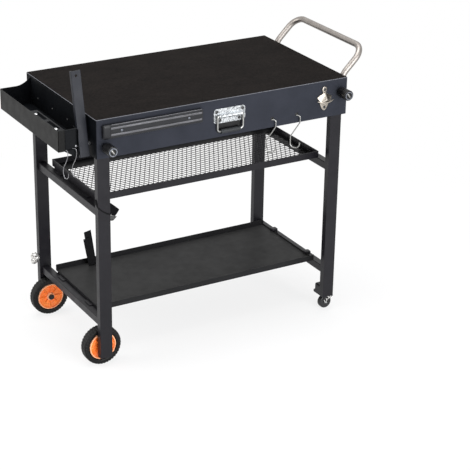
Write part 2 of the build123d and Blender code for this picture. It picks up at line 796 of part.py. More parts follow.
# Side tray: open sheet box with round outer corners, a back wall that sweeps up to the table,
# and a slot for the towel arm
tray_mid = -(end_x + tray_out / 2)
with BuildPart() as side_tray:
    with BuildSketch(Plane.XY.offset(tray_floor)) as tray_plan:
        with Locations((tray_mid, 0)):
            Rectangle(tray_out, 2 * tray_half)
        fillet(tray_plan.vertices().group_by(Axis.X)[0], tray_corner_r)
    extrude(amount=tray_h)
    with BuildSketch(Plane.XY.offset(tray_floor + tray_sheet)) as tray_inside:
        with Locations((tray_mid, 0)):
            Rectangle(tray_out - 2 * tray_sheet, 2 * (tray_half - tray_sheet))
        fillet(tray_inside.vertices().group_by(Axis.X)[0], tray_corner_r - tray_sheet)
    extrude(amount=tray_h, mode=Mode.SUBTRACT)
    with BuildSketch(at_y(tray_half - tray_sheet)):
        with BuildLine():
            rim = table_h - tray_top_drop
            mid_x = -end_x - tray_flare / 2 + tray_flare_sag
            mid_z = rim + tray_top_drop / 2 - tray_flare_sag
            ThreePointArc((-end_x - tray_flare, rim), (mid_x, mid_z), (-end_x, table_h - edge_r))
            Polyline(
                (-end_x, table_h - edge_r),
                (-end_x, rim - tray_sheet),
                (-end_x - tray_flare, rim - tray_sheet),
                (-end_x - tray_flare, rim),
            )
        make_face()
    extrude(amount=-tray_sheet)
    with BuildSketch(Plane.XY.offset(tray_floor)):
        with Locations((-end_x, -tray_half)):
            Rectangle(arm_slot, arm_slot_deep, align=(Align.MAX, Align.MIN))
    extrude(amount=tray_h, mode=Mode.SUBTRACT)
    with Locations((-end_x - arm_slot, -tray_half, tray_floor)):
        Box(tray_sheet, arm_slot_deep, ear_h, align=(Align.MAX, Align.MIN, Align.MIN))
    with BuildSketch(Plane.YZ.offset(-end_x - tray_out)):
        with Locations([(y, table_h - tray_top_drop - tray_slot_drop) for y in tray_slot_y]):
            SlotOverall(tray_slot_w, tray_slot_h)
    extrude(amount=2 * tray_sheet, mode=Mode.SUBTRACT)
    with BuildSketch(Plane.YZ.offset(-end_x - arm_slot - 2 * tray_sheet)):
        with Locations((arm_y, arm_z)):
            Circle(arm_bolt_r + run_fit)
    extrude(amount=3 * tray_sheet, mode=Mode.SUBTRACT)
    with BuildSketch(at_y(-tray_half + 2 * tray_sheet)):
        with Locations([(x, tray_floor + tray_hook_up + hook_hole_up) for x in tray_hook_x]):
            Circle(hook_hole_r)
    extrude(amount=3 * tray_sheet, mode=Mode.SUBTRACT)
save(side_tray, "side_tray")

# Screw heads that hold the tray to the end of the box
with BuildPart() as tray_screws:
    tray_wall = Plane(
        origin=(-end_x - tray_sheet, 0, table_h - tray_top_drop - tray_h / 2),
        x_dir=(0, -1, 0),
        z_dir=(-1, 0, 0),
    )
    with BuildSketch(tray_wall):
        with GridLocations(tray_half / 2, 0, 4, 1):
            Circle(screw_r)
    extrude(amount=screw_t, taper=screw_taper)
save(tray_screws, "tray_screws")

# Towel arm: a channel of folded sheet that swings back into the tray
lean = radians(arm_lean)
arm_plane = Plane(origin=(arm_x, arm_y, arm_z), x_dir=(1, 0, 0), z_dir=(0, sin(lean), cos(lean)))
with BuildPart() as towel_arm:
    with BuildSketch(Plane.XY.offset(-arm_below)):
        with Locations((0, -arm_web_front)):
            Rectangle(arm_w, arm_flange, align=(Align.CENTER, Align.MIN))
        with Locations((0, -arm_web_front + arm_t)):
            Rectangle(arm_w - 2 * arm_t, arm_flange, align=(Align.CENTER, Align.MIN), mode=Mode.SUBTRACT)
    extrude(amount=arm_below + arm_above)
    fillet(towel_arm.edges().filter_by(Axis.Z).group_by(Axis.Y)[0], arm_t / 2)
    with BuildSketch(Plane.YZ):
        Circle(arm_bolt_r + run_fit)
    extrude(amount=arm_w, both=True, mode=Mode.SUBTRACT)
    with BuildSketch(Plane.XZ):
        with Locations((0, arm_above - arm_hole_down)):
            Circle(arm_hole_r)
    extrude(amount=arm_flange, mode=Mode.SUBTRACT)
save(towel_arm, "towel_arm", arm_plane)

# Bolt and sleeves that carry the towel arm between the tray's ear and the box
with BuildPart() as arm_bolt:
    ear_x = -end_x - arm_slot - tray_sheet
    inner_x = -end_x + sheet
    sleeve_l = (arm_slot - arm_w) / 2 - face_gap
    for x, size, long in (
        (ear_x, arm_bolt_head_r, -arm_bolt_head_t),
        (ear_x, arm_bolt_r, inner_x - ear_x),
        (ear_x + tray_sheet, arm_sleeve_r, sleeve_l),
        (-end_x, arm_sleeve_r, -sleeve_l),
        (inner_x, arm_bolt_head_r, arm_bolt_head_t),
    ):
        with BuildSketch(Plane.YZ.offset(x)):
            with Locations((arm_y, arm_z)):
                Circle(size)
        extrude(amount=long)
save(arm_bolt, "towel_arm_bolt")


def make_hook(name, x, y, z):
    """S-hook of bent wire, hung through a hole with its plane turned from the sheet."""
    turn = radians(hook_turn)
    place = Plane(origin=(x, y, z), x_dir=(cos(turn), -sin(turn), 0), z_dir=(0, 0, 1))
    with BuildPart() as hook:
        with BuildLine(Plane.XZ) as path:
            FilletPolyline(
                (hook_rear, -hook_tail),
                (hook_rear, 0),
                (hook_front, 0),
                (hook_front, -hook_knee),
                (hook_left, -hook_waist),
                (hook_left, -hook_bottom),
                (hook_front, -hook_bottom),
                (hook_front, -hook_bottom + hook_tip_up),
                radius=(hook_top_r, hook_top_r, hook_knee_r, hook_knee_r, hook_bottom_r, hook_bottom_r),
            )
        with BuildSketch(Plane(origin=path.wire() @ 0, z_dir=path.wire() % 0)):
            Circle(wire_r)
        sweep()
    save(hook, name, place)


for count, x in enumerate(front_hook_x, 1):
    make_hook(f"front_hook_{count}", x, -front_y + sheet / 2, table_h - front_hook_drop)
for count, x in enumerate(tray_hook_x, 1):
    make_hook(f"tray_hook_{count}", x, -tray_half + tray_sheet / 2, tray_floor + tray_hook_up)

# Magnetic tool bar: a grooved holder with two steel rails let into it
tool_bar_z = table_h - tool_bar_drop
with BuildPart() as tool_bar:
    with BuildSketch(front_plane(tool_bar_x, tool_bar_z)):
        RectangleRounded(tool_bar_l, tool_bar_h, corner_r)
    extrude(amount=tool_bar_t)
    fillet(tool_bar.faces().sort_by(Axis.Y)[0].edges(), corner_r / 2)
    with BuildSketch(front_plane(tool_bar_x, tool_bar_z, tool_bar_t)):
        with GridLocations(0, rail_apart, 1, 2):
            Rectangle(tool_bar_l - 2 * rail_end, rail_h)
    extrude(amount=-rail_deep, mode=Mode.SUBTRACT)
save(tool_bar, "magnetic_bar")

with BuildPart() as tool_rails:
    with BuildSketch(front_plane(tool_bar_x, tool_bar_z, tool_bar_t - rail_deep)):
        with GridLocations(0, rail_apart, 1, 2):
            Rectangle(tool_bar_l - 2 * rail_end, rail_h)
    extrude(amount=rail_deep + rail_proud)
    fillet(tool_rails.edges().filter_by(Axis.X).group_by(Axis.Y)[0], rail_proud / 2)
save(tool_rails, "magnetic_bar_rails")

# Chest handle: a plate with a barrel across it, and a wire bail with a dark grip
plate_z = table_h - plate_top_drop - plate_h / 2
with BuildPart() as handle_plate:
    with BuildSketch(front_plane(plate_x, plate_z)):
        RectangleRounded(plate_w, plate_h, plate_corner_r)
    extrude(amount=plate_t)
    with BuildSketch(Plane.YZ.offset(plate_x)):
        with Locations((barrel_y, barrel_z)):
            Circle(barrel_r)
            Rectangle(barrel_r, 2 * barrel_r, align=(Align.MIN, Align.CENTER))
    extrude(amount=barrel_l / 2, both=True)
    with BuildSketch(Plane.YZ.offset(plate_x)):
        with Locations((barrel_y, barrel_z)):
            Circle(bail_r + run_fit)
    extrude(amount=barrel_l, both=True, mode=Mode.SUBTRACT)
save(handle_plate, "chest_handle_plate")

with BuildPart() as bail:
    with BuildLine(front_plane(plate_x, barrel_z, plate_t + barrel_r)) as bail_path:
        FilletPolyline(
            (-bail_half + bail_pin_in, 0),
            (-bail_half, 0),
            (-bail_half, -bail_drop),
            (bail_half, -bail_drop),
            (bail_half, 0),
            (bail_half - bail_pin_in, 0),
            radius=(bail_r + face_gap, bail_bend_r, bail_bend_r, bail_r + face_gap),
        )
    with BuildSketch(Plane(origin=bail_path.wire() @ 0, z_dir=bail_path.wire() % 0)):
        Circle(bail_r)
    sweep()
save(bail, "chest_handle_bail")

with BuildPart() as grip:
    with BuildSketch(Plane.YZ.offset(plate_x)):
        with Locations((barrel_y, barrel_z - bail_drop)):
            Circle(grip_r)
            Circle(bail_r + run_fit, mode=Mode.SUBTRACT)
    extrude(amount=grip_l / 2, both=True)
save(grip, "chest_handle_grip")

# Bottle opener: two screw tabs, a hollow cast hood open below, and a lifting lip
opener_z = table_h - opener_tab_drop - opener_tab_apart / 2
with BuildPart() as opener:
    with BuildSketch(front_plane(opener_x, opener_z)):
        SlotCenterToCenter(opener_tab_apart, 2 * opener_tab_r, rotation=90)
        Rectangle(opener_box_w, opener_box_h)
    extrude(amount=opener_t)
    with BuildSketch(front_plane(opener_x, opener_z)):
        RectangleRounded(opener_box_w, opener_box_h, opener_wall)
    extrude(amount=opener_box_t, taper=opener_lip_t)
    with BuildSketch(Plane.YZ.offset(opener_x)):
        with Locations((-front_y - opener_t, opener_z - opener_box_h / 2)):
            Rectangle(
                opener_box_t - opener_t - opener_wall,
                opener_box_h - opener_wall,
                align=(Align.MAX, Align.MIN),
            )
    extrude(amount=opener_box_w / 2 - 2 * opener_wall, both=True, mode=Mode.SUBTRACT)
    with BuildSketch(front_plane(opener_x, opener_z - opener_box_h / 2, opener_t)):
        SlotOverall(opener_lip_w, opener_lip_t)
    extrude(amount=opener_t)
save(opener, "bottle_opener")

# Screw heads on the front fittings
with BuildPart() as front_screws:
    rivet_x = plate_w / 2 - plate_corner_r
    rivet_z = plate_h / 2 - plate_corner_r
    for plane, points in (
        (front_plane(tool_bar_x, tool_bar_z, tool_bar_t), [(x, 0) for x in tool_bar_screws]),
        (
            front_plane(plate_x, plate_z, plate_t),
            [(-rivet_x, rivet_z), (rivet_x, rivet_z), (-grip_l / 2, -rivet_z), (grip_l / 2, -rivet_z)],
        ),
        (
            front_plane(opener_x, opener_z, opener_t),
            [(0, opener_tab_apart / 2), (0, -opener_tab_apart / 2)],
        ),
    ):
        with BuildSketch(plane):
            with Locations(points):
                Circle(screw_r)
        extrude(amount=screw_t, taper=screw_taper)
save(front_screws, "front_screws")
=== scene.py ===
"""Looks of the folding grill cart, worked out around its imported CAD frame.

Lengths below are sheet millimetres: from the middle of the table, with the floor at height 0.
put_in_frame turns them into the frame's metres.
"""

import bpy
import numpy as np
from mathutils import Matrix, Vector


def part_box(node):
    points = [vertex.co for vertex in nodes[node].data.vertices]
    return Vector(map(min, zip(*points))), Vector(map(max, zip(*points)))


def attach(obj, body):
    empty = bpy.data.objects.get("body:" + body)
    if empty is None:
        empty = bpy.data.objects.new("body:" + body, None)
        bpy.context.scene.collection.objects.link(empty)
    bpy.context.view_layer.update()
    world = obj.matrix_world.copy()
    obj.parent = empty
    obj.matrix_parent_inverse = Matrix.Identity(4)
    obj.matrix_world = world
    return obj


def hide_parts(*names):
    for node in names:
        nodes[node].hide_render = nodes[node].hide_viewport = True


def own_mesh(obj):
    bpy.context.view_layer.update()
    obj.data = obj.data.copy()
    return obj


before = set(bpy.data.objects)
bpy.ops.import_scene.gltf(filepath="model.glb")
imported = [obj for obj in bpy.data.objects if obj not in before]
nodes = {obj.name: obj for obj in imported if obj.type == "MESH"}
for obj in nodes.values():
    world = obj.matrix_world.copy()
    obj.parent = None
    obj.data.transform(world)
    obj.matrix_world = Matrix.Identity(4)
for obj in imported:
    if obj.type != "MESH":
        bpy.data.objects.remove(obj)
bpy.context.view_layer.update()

TAU = 2 * np.pi

# Places on the cart, in sheet millimetres

SHEET_TO_FRAME_Y = 24.0
LEG_X, LEG_Y = 404.0, 225.0
LEFT_PIVOT_Z, RIGHT_PIVOT_Z = 730.0, 773.0
APRON_Y = -250.0
WHEEL_R, RIM_R = 62.5, 44.0
OPENER_X, OPENER_TOP, OPENER_LOW = 346.0, 788.0, 731.0

# Surfaces


def put_in_frame(points):
    """Sheet millimetres to frame metres: y moves by the fixed offset, then all is divided by 1000."""
    return (np.asarray(points, float) + (0.0, SHEET_TO_FRAME_Y, 0.0)) / 1000.0


def node_box(name):
    """Low and high corner of a CAD node's box, in frame millimetres."""
    return tuple(np.array(corner) * 1000.0 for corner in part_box(name))


def grid_faces(rows, cols, close_rows=False, close_cols=False):
    """Quads of a rows x cols grid; each joins a point to its right, diagonal and lower neighbours."""
    row = np.arange(rows if close_rows else rows - 1)
    col = np.arange(cols if close_cols else cols - 1)
    row, col = (grid.ravel() for grid in np.meshgrid(row, col, indexing="ij"))
    next_row, next_col = (row + 1) % rows, (col + 1) % cols
    corners = [row * cols + col, row * cols + next_col, next_row * cols + next_col, next_row * cols + col]
    return np.stack(corners, 1)


def make_piece(name, points, faces, finish, smooth=True):
    """One mesh from arrays of points (sheet millimetres) and quads, with one finish."""
    mesh = bpy.data.meshes.new(name)
    place = put_in_frame(np.asarray(points).reshape(-1, 3))
    mesh.from_pydata(place.tolist(), [], np.asarray(faces).tolist())
    mesh.polygons.foreach_set("use_smooth", np.full(len(mesh.polygons), smooth))
    mesh.materials.append(finish)
    mesh.validate()
    mesh.update()
    piece = bpy.data.objects.new(name, mesh)
    bpy.context.scene.collection.objects.link(piece)
    return piece


def join_arrays(*meshes):
    """Several (points, faces) pairs as one pair; each face list is moved past the points before it."""
    starts = np.cumsum([0] + [len(points) for points, _ in meshes[:-1]])
    all_points = np.concatenate([points for points, _ in meshes])
    all_faces = np.concatenate([faces + start for (_, faces), start in zip(meshes, starts)])
    return all_points, all_faces


def unit(vectors):
    """Each vector divided by its own length."""
    return vectors / np.linalg.norm(vectors, axis=-1, keepdims=True)


def smooth_line(knots, count):
    """Points at even steps along a Catmull-Rom curve through the knots: on each span the cubic that
    passes through its ends with slopes set by the neighbouring knots."""
    knots = np.asarray(knots, float)
    ends = np.concatenate([[2 * knots[0] - knots[1]], knots, [2 * knots[-1] - knots[-2]]])
    way = np.linspace(0, len(knots) - 1 - 1e-9, count)
    span = way.astype(int)
    part = (way - span)[:, None]
    before, start, stop, after = (ends[span + step] for step in range(4))
    slope = stop - before
    bend = 2 * before - 5 * start + 4 * stop - after
    twist = 3 * start - before - 3 * stop + after
    return 0.5 * (2 * start + slope * part + bend * part**2 + twist * part**3)


def squared_circle(turn, box):
    """Factor that pushes a unit circle out to a super-ellipse: (|cos|^box + |sin|^box) ^ (-1 / box)."""
    return (np.abs(np.cos(turn)) ** box + np.abs(np.sin(turn)) ** box) ** (-1 / box)


def about_axle(radius, across, angle, centre):
    """Closed grid turned about an axle along y: radius times cosine and sine of the angle in x and z, and
    the way along the axle in y, all set about the centre, which is in frame millimetres."""
    spokes = np.stack([radius * np.cos(angle), across, radius * np.sin(angle)], 2)
    points = spokes + centre - (0, SHEET_TO_FRAME_Y, 0)
    return points.reshape(-1, 3), grid_faces(*angle.shape, True, True)


def shell(points, thick):
    """A sheet of one thickness from a grid of points: the second skin lies along the grid's normals,
    and strips close the four borders."""
    rows, cols = points.shape[:2]
    normal = unit(np.cross(np.gradient(points, axis=0), np.gradient(points, axis=1)))
    both = np.concatenate([points.reshape(-1, 3), (points + normal * thick).reshape(-1, 3)])
    face = grid_faces(rows, cols)
    number = np.arange(rows * cols).reshape(rows, cols)
    rim = np.concatenate([number[0, :-1], number[:-1, -1], number[-1, :0:-1], number[:0:-1, 0]])
    after = np.roll(rim, -1)
    edge = np.stack([rim, rim + rows * cols, after + rows * cols, after], 1)
    return both, np.concatenate([face, face[:, ::-1] + rows * cols, edge])


def four_corner_sheet(corners, bulge, thick, count=12):
    """A bent sheet: the two-way straight blend of its four corners, lifted along the corners' normal by a
    low bulge that is greatest in the middle."""
    first, second, third, fourth = (np.asarray(corner, float) for corner in corners)
    share = np.linspace(0, 1, count)
    along, over = (grid[..., None] for grid in np.meshgrid(share, share, indexing="ij"))
    near = (1 - along) * (1 - over) * first + along * (1 - over) * second
    flat = near + along * over * third + (1 - along) * over * fourth
    lift = unit(np.cross(second - first, fourth - first)) * bulge
    return shell(flat + 16 * lift * along * (1 - along) * over * (1 - over), thick)


def rod(middle, radius, sides=12):
    """Round bar along a line, the radius given at each point; rings stand across the line."""
    along = unit(np.gradient(middle, axis=0))
    first = unit(np.cross(along, np.array([0.3, 1.0, 0.2])))
    second = np.cross(along, first)
    turn = np.linspace(0, TAU, sides, endpoint=False)
    ring = first[:, None] * np.cos(turn)[:, None] + second[:, None] * np.sin(turn)[:, None]
    points = middle[:, None] + ring * np.asarray(radius)[:, None, None]
    return points.reshape(-1, 3), grid_faces(len(middle), sides, close_cols=True)


def rounded_block(lo, hi, box=6.0):
    """Block with soft edges: on a sphere's angles each direction is pushed out to the super-ellipsoid
    whose exponent is the box number."""
    lo, hi = np.asarray(lo, float), np.asarray(hi, float)
    rise, turn = np.linspace(-np.pi / 2, np.pi / 2, 33), np.linspace(0, TAU, 48, endpoint=False)
    lat, lon = np.meshgrid(rise, turn, indexing="ij")
    ray = np.stack([np.cos(lat) * np.cos(lon), np.cos(lat) * np.sin(lon), np.sin(lat)], 2)
    ray = ray / (np.abs(ray) ** box).sum(2, keepdims=True) ** (1 / box)
    points = (lo + hi) / 2 + ray * (hi - lo) / 2
    return points.reshape(-1, 3), grid_faces(len(rise), len(turn), close_cols=True)


def plain_box(lo, hi):
    """Straight box: eight corners, six sides."""
    pick = np.array(np.meshgrid([0, 1], [0, 1], [0, 1], indexing="ij")).reshape(3, -1).T
    points = np.where(pick, np.asarray(hi, float), np.asarray(lo, float))
    faces = [[0, 1, 3, 2], [4, 6, 7, 5], [0, 4, 5, 1], [2, 3, 7, 6], [0, 2, 6, 4], [1, 5, 7, 3]]
    return points, np.array(faces)


# Finishes


def screen(red, green, blue):
    """Linear colour of an 8-bit screen colour: the screen's gamma curve undone in each channel."""
    value = np.array((red, green, blue)) / 255.0
    line = np.where(value <= 0.04045, value / 12.92, ((value + 0.055) / 1.055) ** 2.4)
    return (*line.tolist(), 1.0)


def start_finish(name, roughness, specular, metallic=0.0):
    """A node finish whose even values are set on the shader's own sockets."""
    finish = bpy.data.materials.new(name)
    finish.use_nodes = True
    shader = finish.node_tree.nodes["Principled BSDF"]
    shader.inputs["Roughness"].default_value = roughness
    shader.inputs["Specular IOR Level"].default_value = specular
    shader.inputs["Metallic"].default_value = metallic
    return finish, finish.node_tree, shader


def coords(tree, stretch=(1, 1, 1)):
    """Object coordinates in metres, stretched along the axes."""
    source = tree.nodes.new("ShaderNodeTexCoord")
    mapping = tree.nodes.new("ShaderNodeMapping")
    mapping.inputs["Scale"].default_value = stretch
    tree.links.new(source.outputs["Object"], mapping.inputs["Vector"])
    return mapping.outputs["Vector"]


def grain(tree, per_metre, detail=2.0, rough=0.5, stretch=(1, 1, 1)):
    """Fractal noise of about so many grains to the metre."""
    node = tree.nodes.new("ShaderNodeTexNoise")
    node.inputs["Scale"].default_value = per_metre
    node.inputs["Detail"].default_value = detail
    node.inputs["Roughness"].default_value = rough
    tree.links.new(coords(tree, stretch), node.inputs["Vector"])
    return node.outputs["Fac"]


def cells(tree, per_metre):
    """One random grey for each crystal of a Voronoi pattern."""
    node = tree.nodes.new("ShaderNodeTexVoronoi")
    node.inputs["Scale"].default_value = per_metre
    tree.links.new(coords(tree), node.inputs["Vector"])
    grey = tree.nodes.new("ShaderNodeSeparateColor")
    tree.links.new(node.outputs["Color"], grey.inputs["Color"])
    return grey.outputs["Red"]


def ramp(tree, value, low, high, to_low=0.0, to_high=1.0):
    """The value carried from one range to another, held at both ends."""
    node = tree.nodes.new("ShaderNodeMapRange")
    for socket, number in zip(("From Min", "From Max", "To Min", "To Max"), (low, high, to_low, to_high)):
        node.inputs[socket].default_value = number
    tree.links.new(value, node.inputs["Value"])
    return node.outputs["Result"]


def sums(tree, kind, first, second):
    """One arithmetic node; either side may be a socket or a plain number."""
    node = tree.nodes.new("ShaderNodeMath")
    node.operation = kind
    for socket, value in zip(node.inputs, (first, second)):
        if isinstance(value, (int, float)):
            socket.default_value = value
        else:
            tree.links.new(value, socket)
    return node.outputs["Value"]


def clouds(tree, per_metre, detail=2.0, rough=0.5, stretch=(1, 1, 1), to_low=0.0, to_high=1.0):
    """Fractal noise whose usual values, 0.3 to 0.7, are carried to the range from to_low to to_high."""
    return ramp(tree, grain(tree, per_metre, detail, rough, stretch), 0.3, 0.7, to_low, to_high)


def shared(tree, first, second, share):
    """Two values added: the share of the first and the rest of the second."""
    return sums(tree, "ADD", sums(tree, "MULTIPLY", first, share), sums(tree, "MULTIPLY", second, 1 - share))


def mixed(tree, factor, first, second):
    """Two colours, or colour sockets, mixed by a factor socket."""
    node = tree.nodes.new("ShaderNodeMix")
    node.data_type = "RGBA"
    tree.links.new(factor, node.inputs[0])
    for socket, value in ((node.inputs[6], first), (node.inputs[7], second)):
        if isinstance(value, tuple):
            socket.default_value = value
        else:
            tree.links.new(value, socket)
    return node.outputs[2]


def raised(tree, shader, height, strength, depth):
    """Bump from a height socket."""
    node = tree.nodes.new("ShaderNodeBump")
    node.inputs["Strength"].default_value = strength
    node.inputs["Distance"].default_value = depth
    tree.links.new(height, node.inputs["Height"])
    tree.links.new(node.outputs["Normal"], shader.inputs["Normal"])


def facing(tree):
    """The three parts of the surface's direction."""
    geometry = tree.nodes.new("ShaderNodeNewGeometry")
    split = tree.nodes.new("ShaderNodeSeparateXYZ")
    tree.links.new(geometry.outputs["Normal"], split.inputs["Vector"])
    return split.outputs


def powder_coat(name, dark, light, roughness, specular):
    """Baked powder paint: two close tones in slow clouds, fine specks, uneven gloss, orange-peel skin."""
    finish, tree, shader = start_finish(name, roughness, specular)
    specks = ramp(tree, grain(tree, 1400, 1), 0.35, 0.75)
    tone = shared(tree, clouds(tree, 9, 4, 0.6), specks, 0.65)
    tree.links.new(mixed(tree, tone, dark, light), shader.inputs["Base Color"])
    gloss = clouds(tree, 35, 3, to_low=roughness - 0.05, to_high=roughness + 0.06)
    tree.links.new(gloss, shader.inputs["Roughness"])
    raised(tree, shader, grain(tree, 900, 2), 0.2, 0.0002)
    return finish


def table_paint():
    """Box paint: cool satin powder coat on the aprons, a painted highlight on the rolled edges and painted
    shade, near black, on the end facing the tray; on the worktop a warm black, finely wrinkled coat with
    faint wiping marks."""
    finish, tree, shader = start_finish("table_paint", 0.55, 0.02)
    look = facing(tree)
    up = ramp(tree, look["Z"], 0.75, 0.95)
    # painted highlight: faces tipped between level and upright, the rolled edges, are mixed towards a pale
    # grey
    tipped, below_flat = ramp(tree, look["Z"], 0.15, 0.35), ramp(tree, look["Z"], 0.75, 0.95, 1.0, 0.0)
    edge = sums(tree, "MULTIPLY", tipped, below_flat)
    # painted shade: faces turned towards the tray end are mixed towards near black
    tray_end_painted_shade = ramp(tree, look["X"], -0.5, -0.9)
    apron = mixed(tree, clouds(tree, 8, 4, 0.6), screen(42, 44, 50), screen(49, 51, 58))
    apron = mixed(tree, tray_end_painted_shade, apron, screen(12, 14, 17))
    apron = mixed(tree, edge, apron, screen(104, 105, 110))
    wipes = ramp(tree, grain(tree, 11, 5, 0.65, (0.8, 1.2, 1)), 0.3, 0.75)
    wrinkle = ramp(tree, grain(tree, 150, 5, 0.7, (0.7, 1.3, 1)), 0.36, 0.66)
    tone = shared(tree, wipes, wrinkle, 0.4)
    worktop = mixed(tree, tone, screen(4, 3, 3), screen(29, 25, 23))
    tree.links.new(mixed(tree, up, apron, worktop), shader.inputs["Base Color"])
    skin = sums(tree, "ADD", grain(tree, 900, 2), sums(tree, "MULTIPLY", up, wrinkle))
    tree.links.new(ramp(tree, up, 0, 1, 0.4, 0.62), shader.inputs["Roughness"])
    raised(tree, shader, skin, 0.25, 0.0003)
    return finish


def shelf_paint():
    """Lower shelf paint: the floor paler and the upright lips darker, as painted shade, with a slow mottle
    over both.
    """
    finish, tree, shader = start_finish("shelf_paint", 0.5, 0.1)
    up = ramp(tree, facing(tree)["Z"], 0.5, 0.9)
    dust = clouds(tree, 7, 4, 0.6)
    # painted shade: the upright lips take a darker tone than the upward-facing floor
    lit_floor_tone = mixed(tree, dust, screen(48, 48, 48), screen(60, 60, 60))
    lip_shade_tone = mixed(tree, dust, screen(26, 26, 27), screen(33, 33, 34))
    tree.links.new(mixed(tree, up, lip_shade_tone, lit_floor_tone), shader.inputs["Base Color"])
    tree.links.new(clouds(tree, 35, 3, to_low=0.45, to_high=0.56), shader.inputs["Roughness"])
    raised(tree, shader, grain(tree, 900, 2), 0.2, 0.0002)
    return finish


def bright_metal(name, dark, light, roughness, spread, per_metre, stretch=(1, 1, 1), dents=0.1):
    """Bare or plated metal: two tones and an uneven gloss in grains that may be drawn into brush lines."""
    finish, tree, shader = start_finish(name, roughness, 0.5, 1.0)
    lines = clouds(tree, per_metre, 4, 0.6, stretch)
    tree.links.new(mixed(tree, lines, dark, light), shader.inputs["Base Color"])
    gloss = clouds(tree, per_metre * 0.6, 3, 0.5, stretch, roughness - spread, roughness + spread)
    tree.links.new(gloss, shader.inputs["Roughness"])
    raised(tree, shader, lines, dents, 0.0002)
    return finish


def spangled_zinc():
    """Bright zinc plate: small crystals of different greys under a fine grain."""
    finish, tree, shader = start_finish("spangled_zinc", 0.3, 0.5, 1.0)
    crystals = cells(tree, 260)
    tone = shared(tree, crystals, clouds(tree, 900, 3), 0.6)
    zinc = mixed(tree, tone, screen(122, 126, 130), screen(228, 231, 233))
    tree.links.new(zinc, shader.inputs["Base Color"])
    tree.links.new(ramp(tree, crystals, 0, 1, 0.18, 0.4), shader.inputs["Roughness"])
    raised(tree, shader, crystals, 0.15, 0.0002)
    return finish


def worn_zinc(name, per_metre, dark_share):
    """Dull zinc with dark hollows: crystals under the given share are near black, the others pale; half
    metal, so that it keeps its own light tone in the shade."""
    finish, tree, shader = start_finish(name, 0.4, 0.5, 0.5)
    crystals = cells(tree, per_metre)
    pale = ramp(tree, crystals, dark_share - 0.1, dark_share + 0.1)
    zinc = mixed(tree, clouds(tree, 900, 3), screen(184, 182, 178), screen(236, 235, 232))
    tree.links.new(mixed(tree, pale, screen(34, 34, 35), zinc), shader.inputs["Base Color"])
    raised(tree, shader, crystals, 0.3, 0.0003)
    return finish


def moulded(name, dark, light, roughness, specular=0.4, per_metre=700, skin=0.2):
    """Moulded plastic or rubber: slow tone drift, and a fine spark-eroded skin."""
    finish, tree, shader = start_finish(name, roughness, specular)
    drift = clouds(tree, 40, 3)
    tree.links.new(mixed(tree, drift, dark, light), shader.inputs["Base Color"])
    tree.links.new(ramp(tree, drift, 0, 1, roughness - 0.06, roughness + 0.06), shader.inputs["Roughness"])
    raised(tree, shader, grain(tree, per_metre, 2), skin, 0.0002)
    return finish


def hub_orange(axle_x, axle_z):
    """Moulded orange: the distance from the axle picks out the rim bead and the boss edge, which are painted
    paler as a painted highlight; a slow drift of tone over all."""
    finish, tree, shader = start_finish("hub_orange", 0.38, 0.4)
    move = tree.nodes.new("ShaderNodeVectorMath")
    move.operation = "SUBTRACT"
    tree.links.new(coords(tree), move.inputs[0])
    move.inputs[1].default_value = (axle_x, 0.0, axle_z)
    flat = tree.nodes.new("ShaderNodeVectorMath")
    flat.operation = "MULTIPLY"
    tree.links.new(move.outputs["Vector"], flat.inputs[0])
    flat.inputs[1].default_value = (1.0, 0.0, 1.0)
    length = tree.nodes.new("ShaderNodeVectorMath")
    length.operation = "LENGTH"
    tree.links.new(flat.outputs["Vector"], length.inputs[0])
    radius = length.outputs["Value"]
    # painted highlight: the rim bead and the boss edge are mixed towards a pale orange
    rim = ramp(tree, radius, 0.0385, 0.0415)
    past_bore, before_bowl = ramp(tree, radius, 0.0085, 0.0105), ramp(tree, radius, 0.0125, 0.0145, 1.0, 0.0)
    boss = sums(tree, "MULTIPLY", past_bore, before_bowl)
    pale = sums(tree, "MULTIPLY", sums(tree, "MAXIMUM", rim, boss), 0.6)
    drift = clouds(tree, 40, 3)
    orange = mixed(tree, drift, screen(255, 122, 42), screen(255, 146, 62))
    tree.links.new(mixed(tree, pale, orange, screen(255, 206, 168)), shader.inputs["Base Color"])
    raised(tree, shader, grain(tree, 500, 2), 0.12, 0.0002)
    return finish


def webbing(name, dark, light):
    """Hook-and-loop strap: crossing rows of yarn about 1 mm apart, with a loose fuzz."""
    finish, tree, shader = start_finish(name, 0.85, 0.15)
    waves = []
    for axis in ("X", "Y", "Z"):
        node = tree.nodes.new("ShaderNodeTexWave")
        node.bands_direction = axis
        node.inputs["Scale"].default_value = 320
        node.inputs["Distortion"].default_value = 1.0
        tree.links.new(coords(tree), node.inputs["Vector"])
        waves.append(node.outputs["Fac"])
    weave = sums(tree, "MULTIPLY", sums(tree, "ADD", waves[0], waves[1]), waves[2])
    fuzz = ramp(tree, grain(tree, 900, 4, 0.7), 0.3, 0.75)
    tree.links.new(mixed(tree, fuzz, dark, light), shader.inputs["Base Color"])
    raised(tree, shader, sums(tree, "ADD", weave, fuzz), 0.5, 0.0004)
    return finish


# paints: dark and light tone, roughness, specular level
table_finish = table_paint()
frame_coat = powder_coat("frame_coat", screen(18, 17, 21), screen(25, 24, 29), 0.36, 0.24)
arm_coat = powder_coat("arm_coat", screen(24, 26, 32), screen(30, 32, 39), 0.4, 0.15)
tray_coat = powder_coat("tray_coat", screen(14, 14, 14), screen(20, 20, 19), 0.42, 0.12)
# painted shade: a darker copy of the tray coat, for the tray's inside and the strip behind the mesh shelf
tray_painted_shade = powder_coat("tray_dark_coat", screen(11, 12, 14), screen(17, 19, 22), 0.4, 0.08)
shelf_coat = shelf_paint()
mesh_coat = powder_coat("mesh_coat", screen(18, 18, 20), screen(27, 27, 29), 0.5, 0.15)
bar_coat = powder_coat("tool_bar_coat", screen(16, 17, 20), screen(26, 27, 31), 0.38, 0.3)
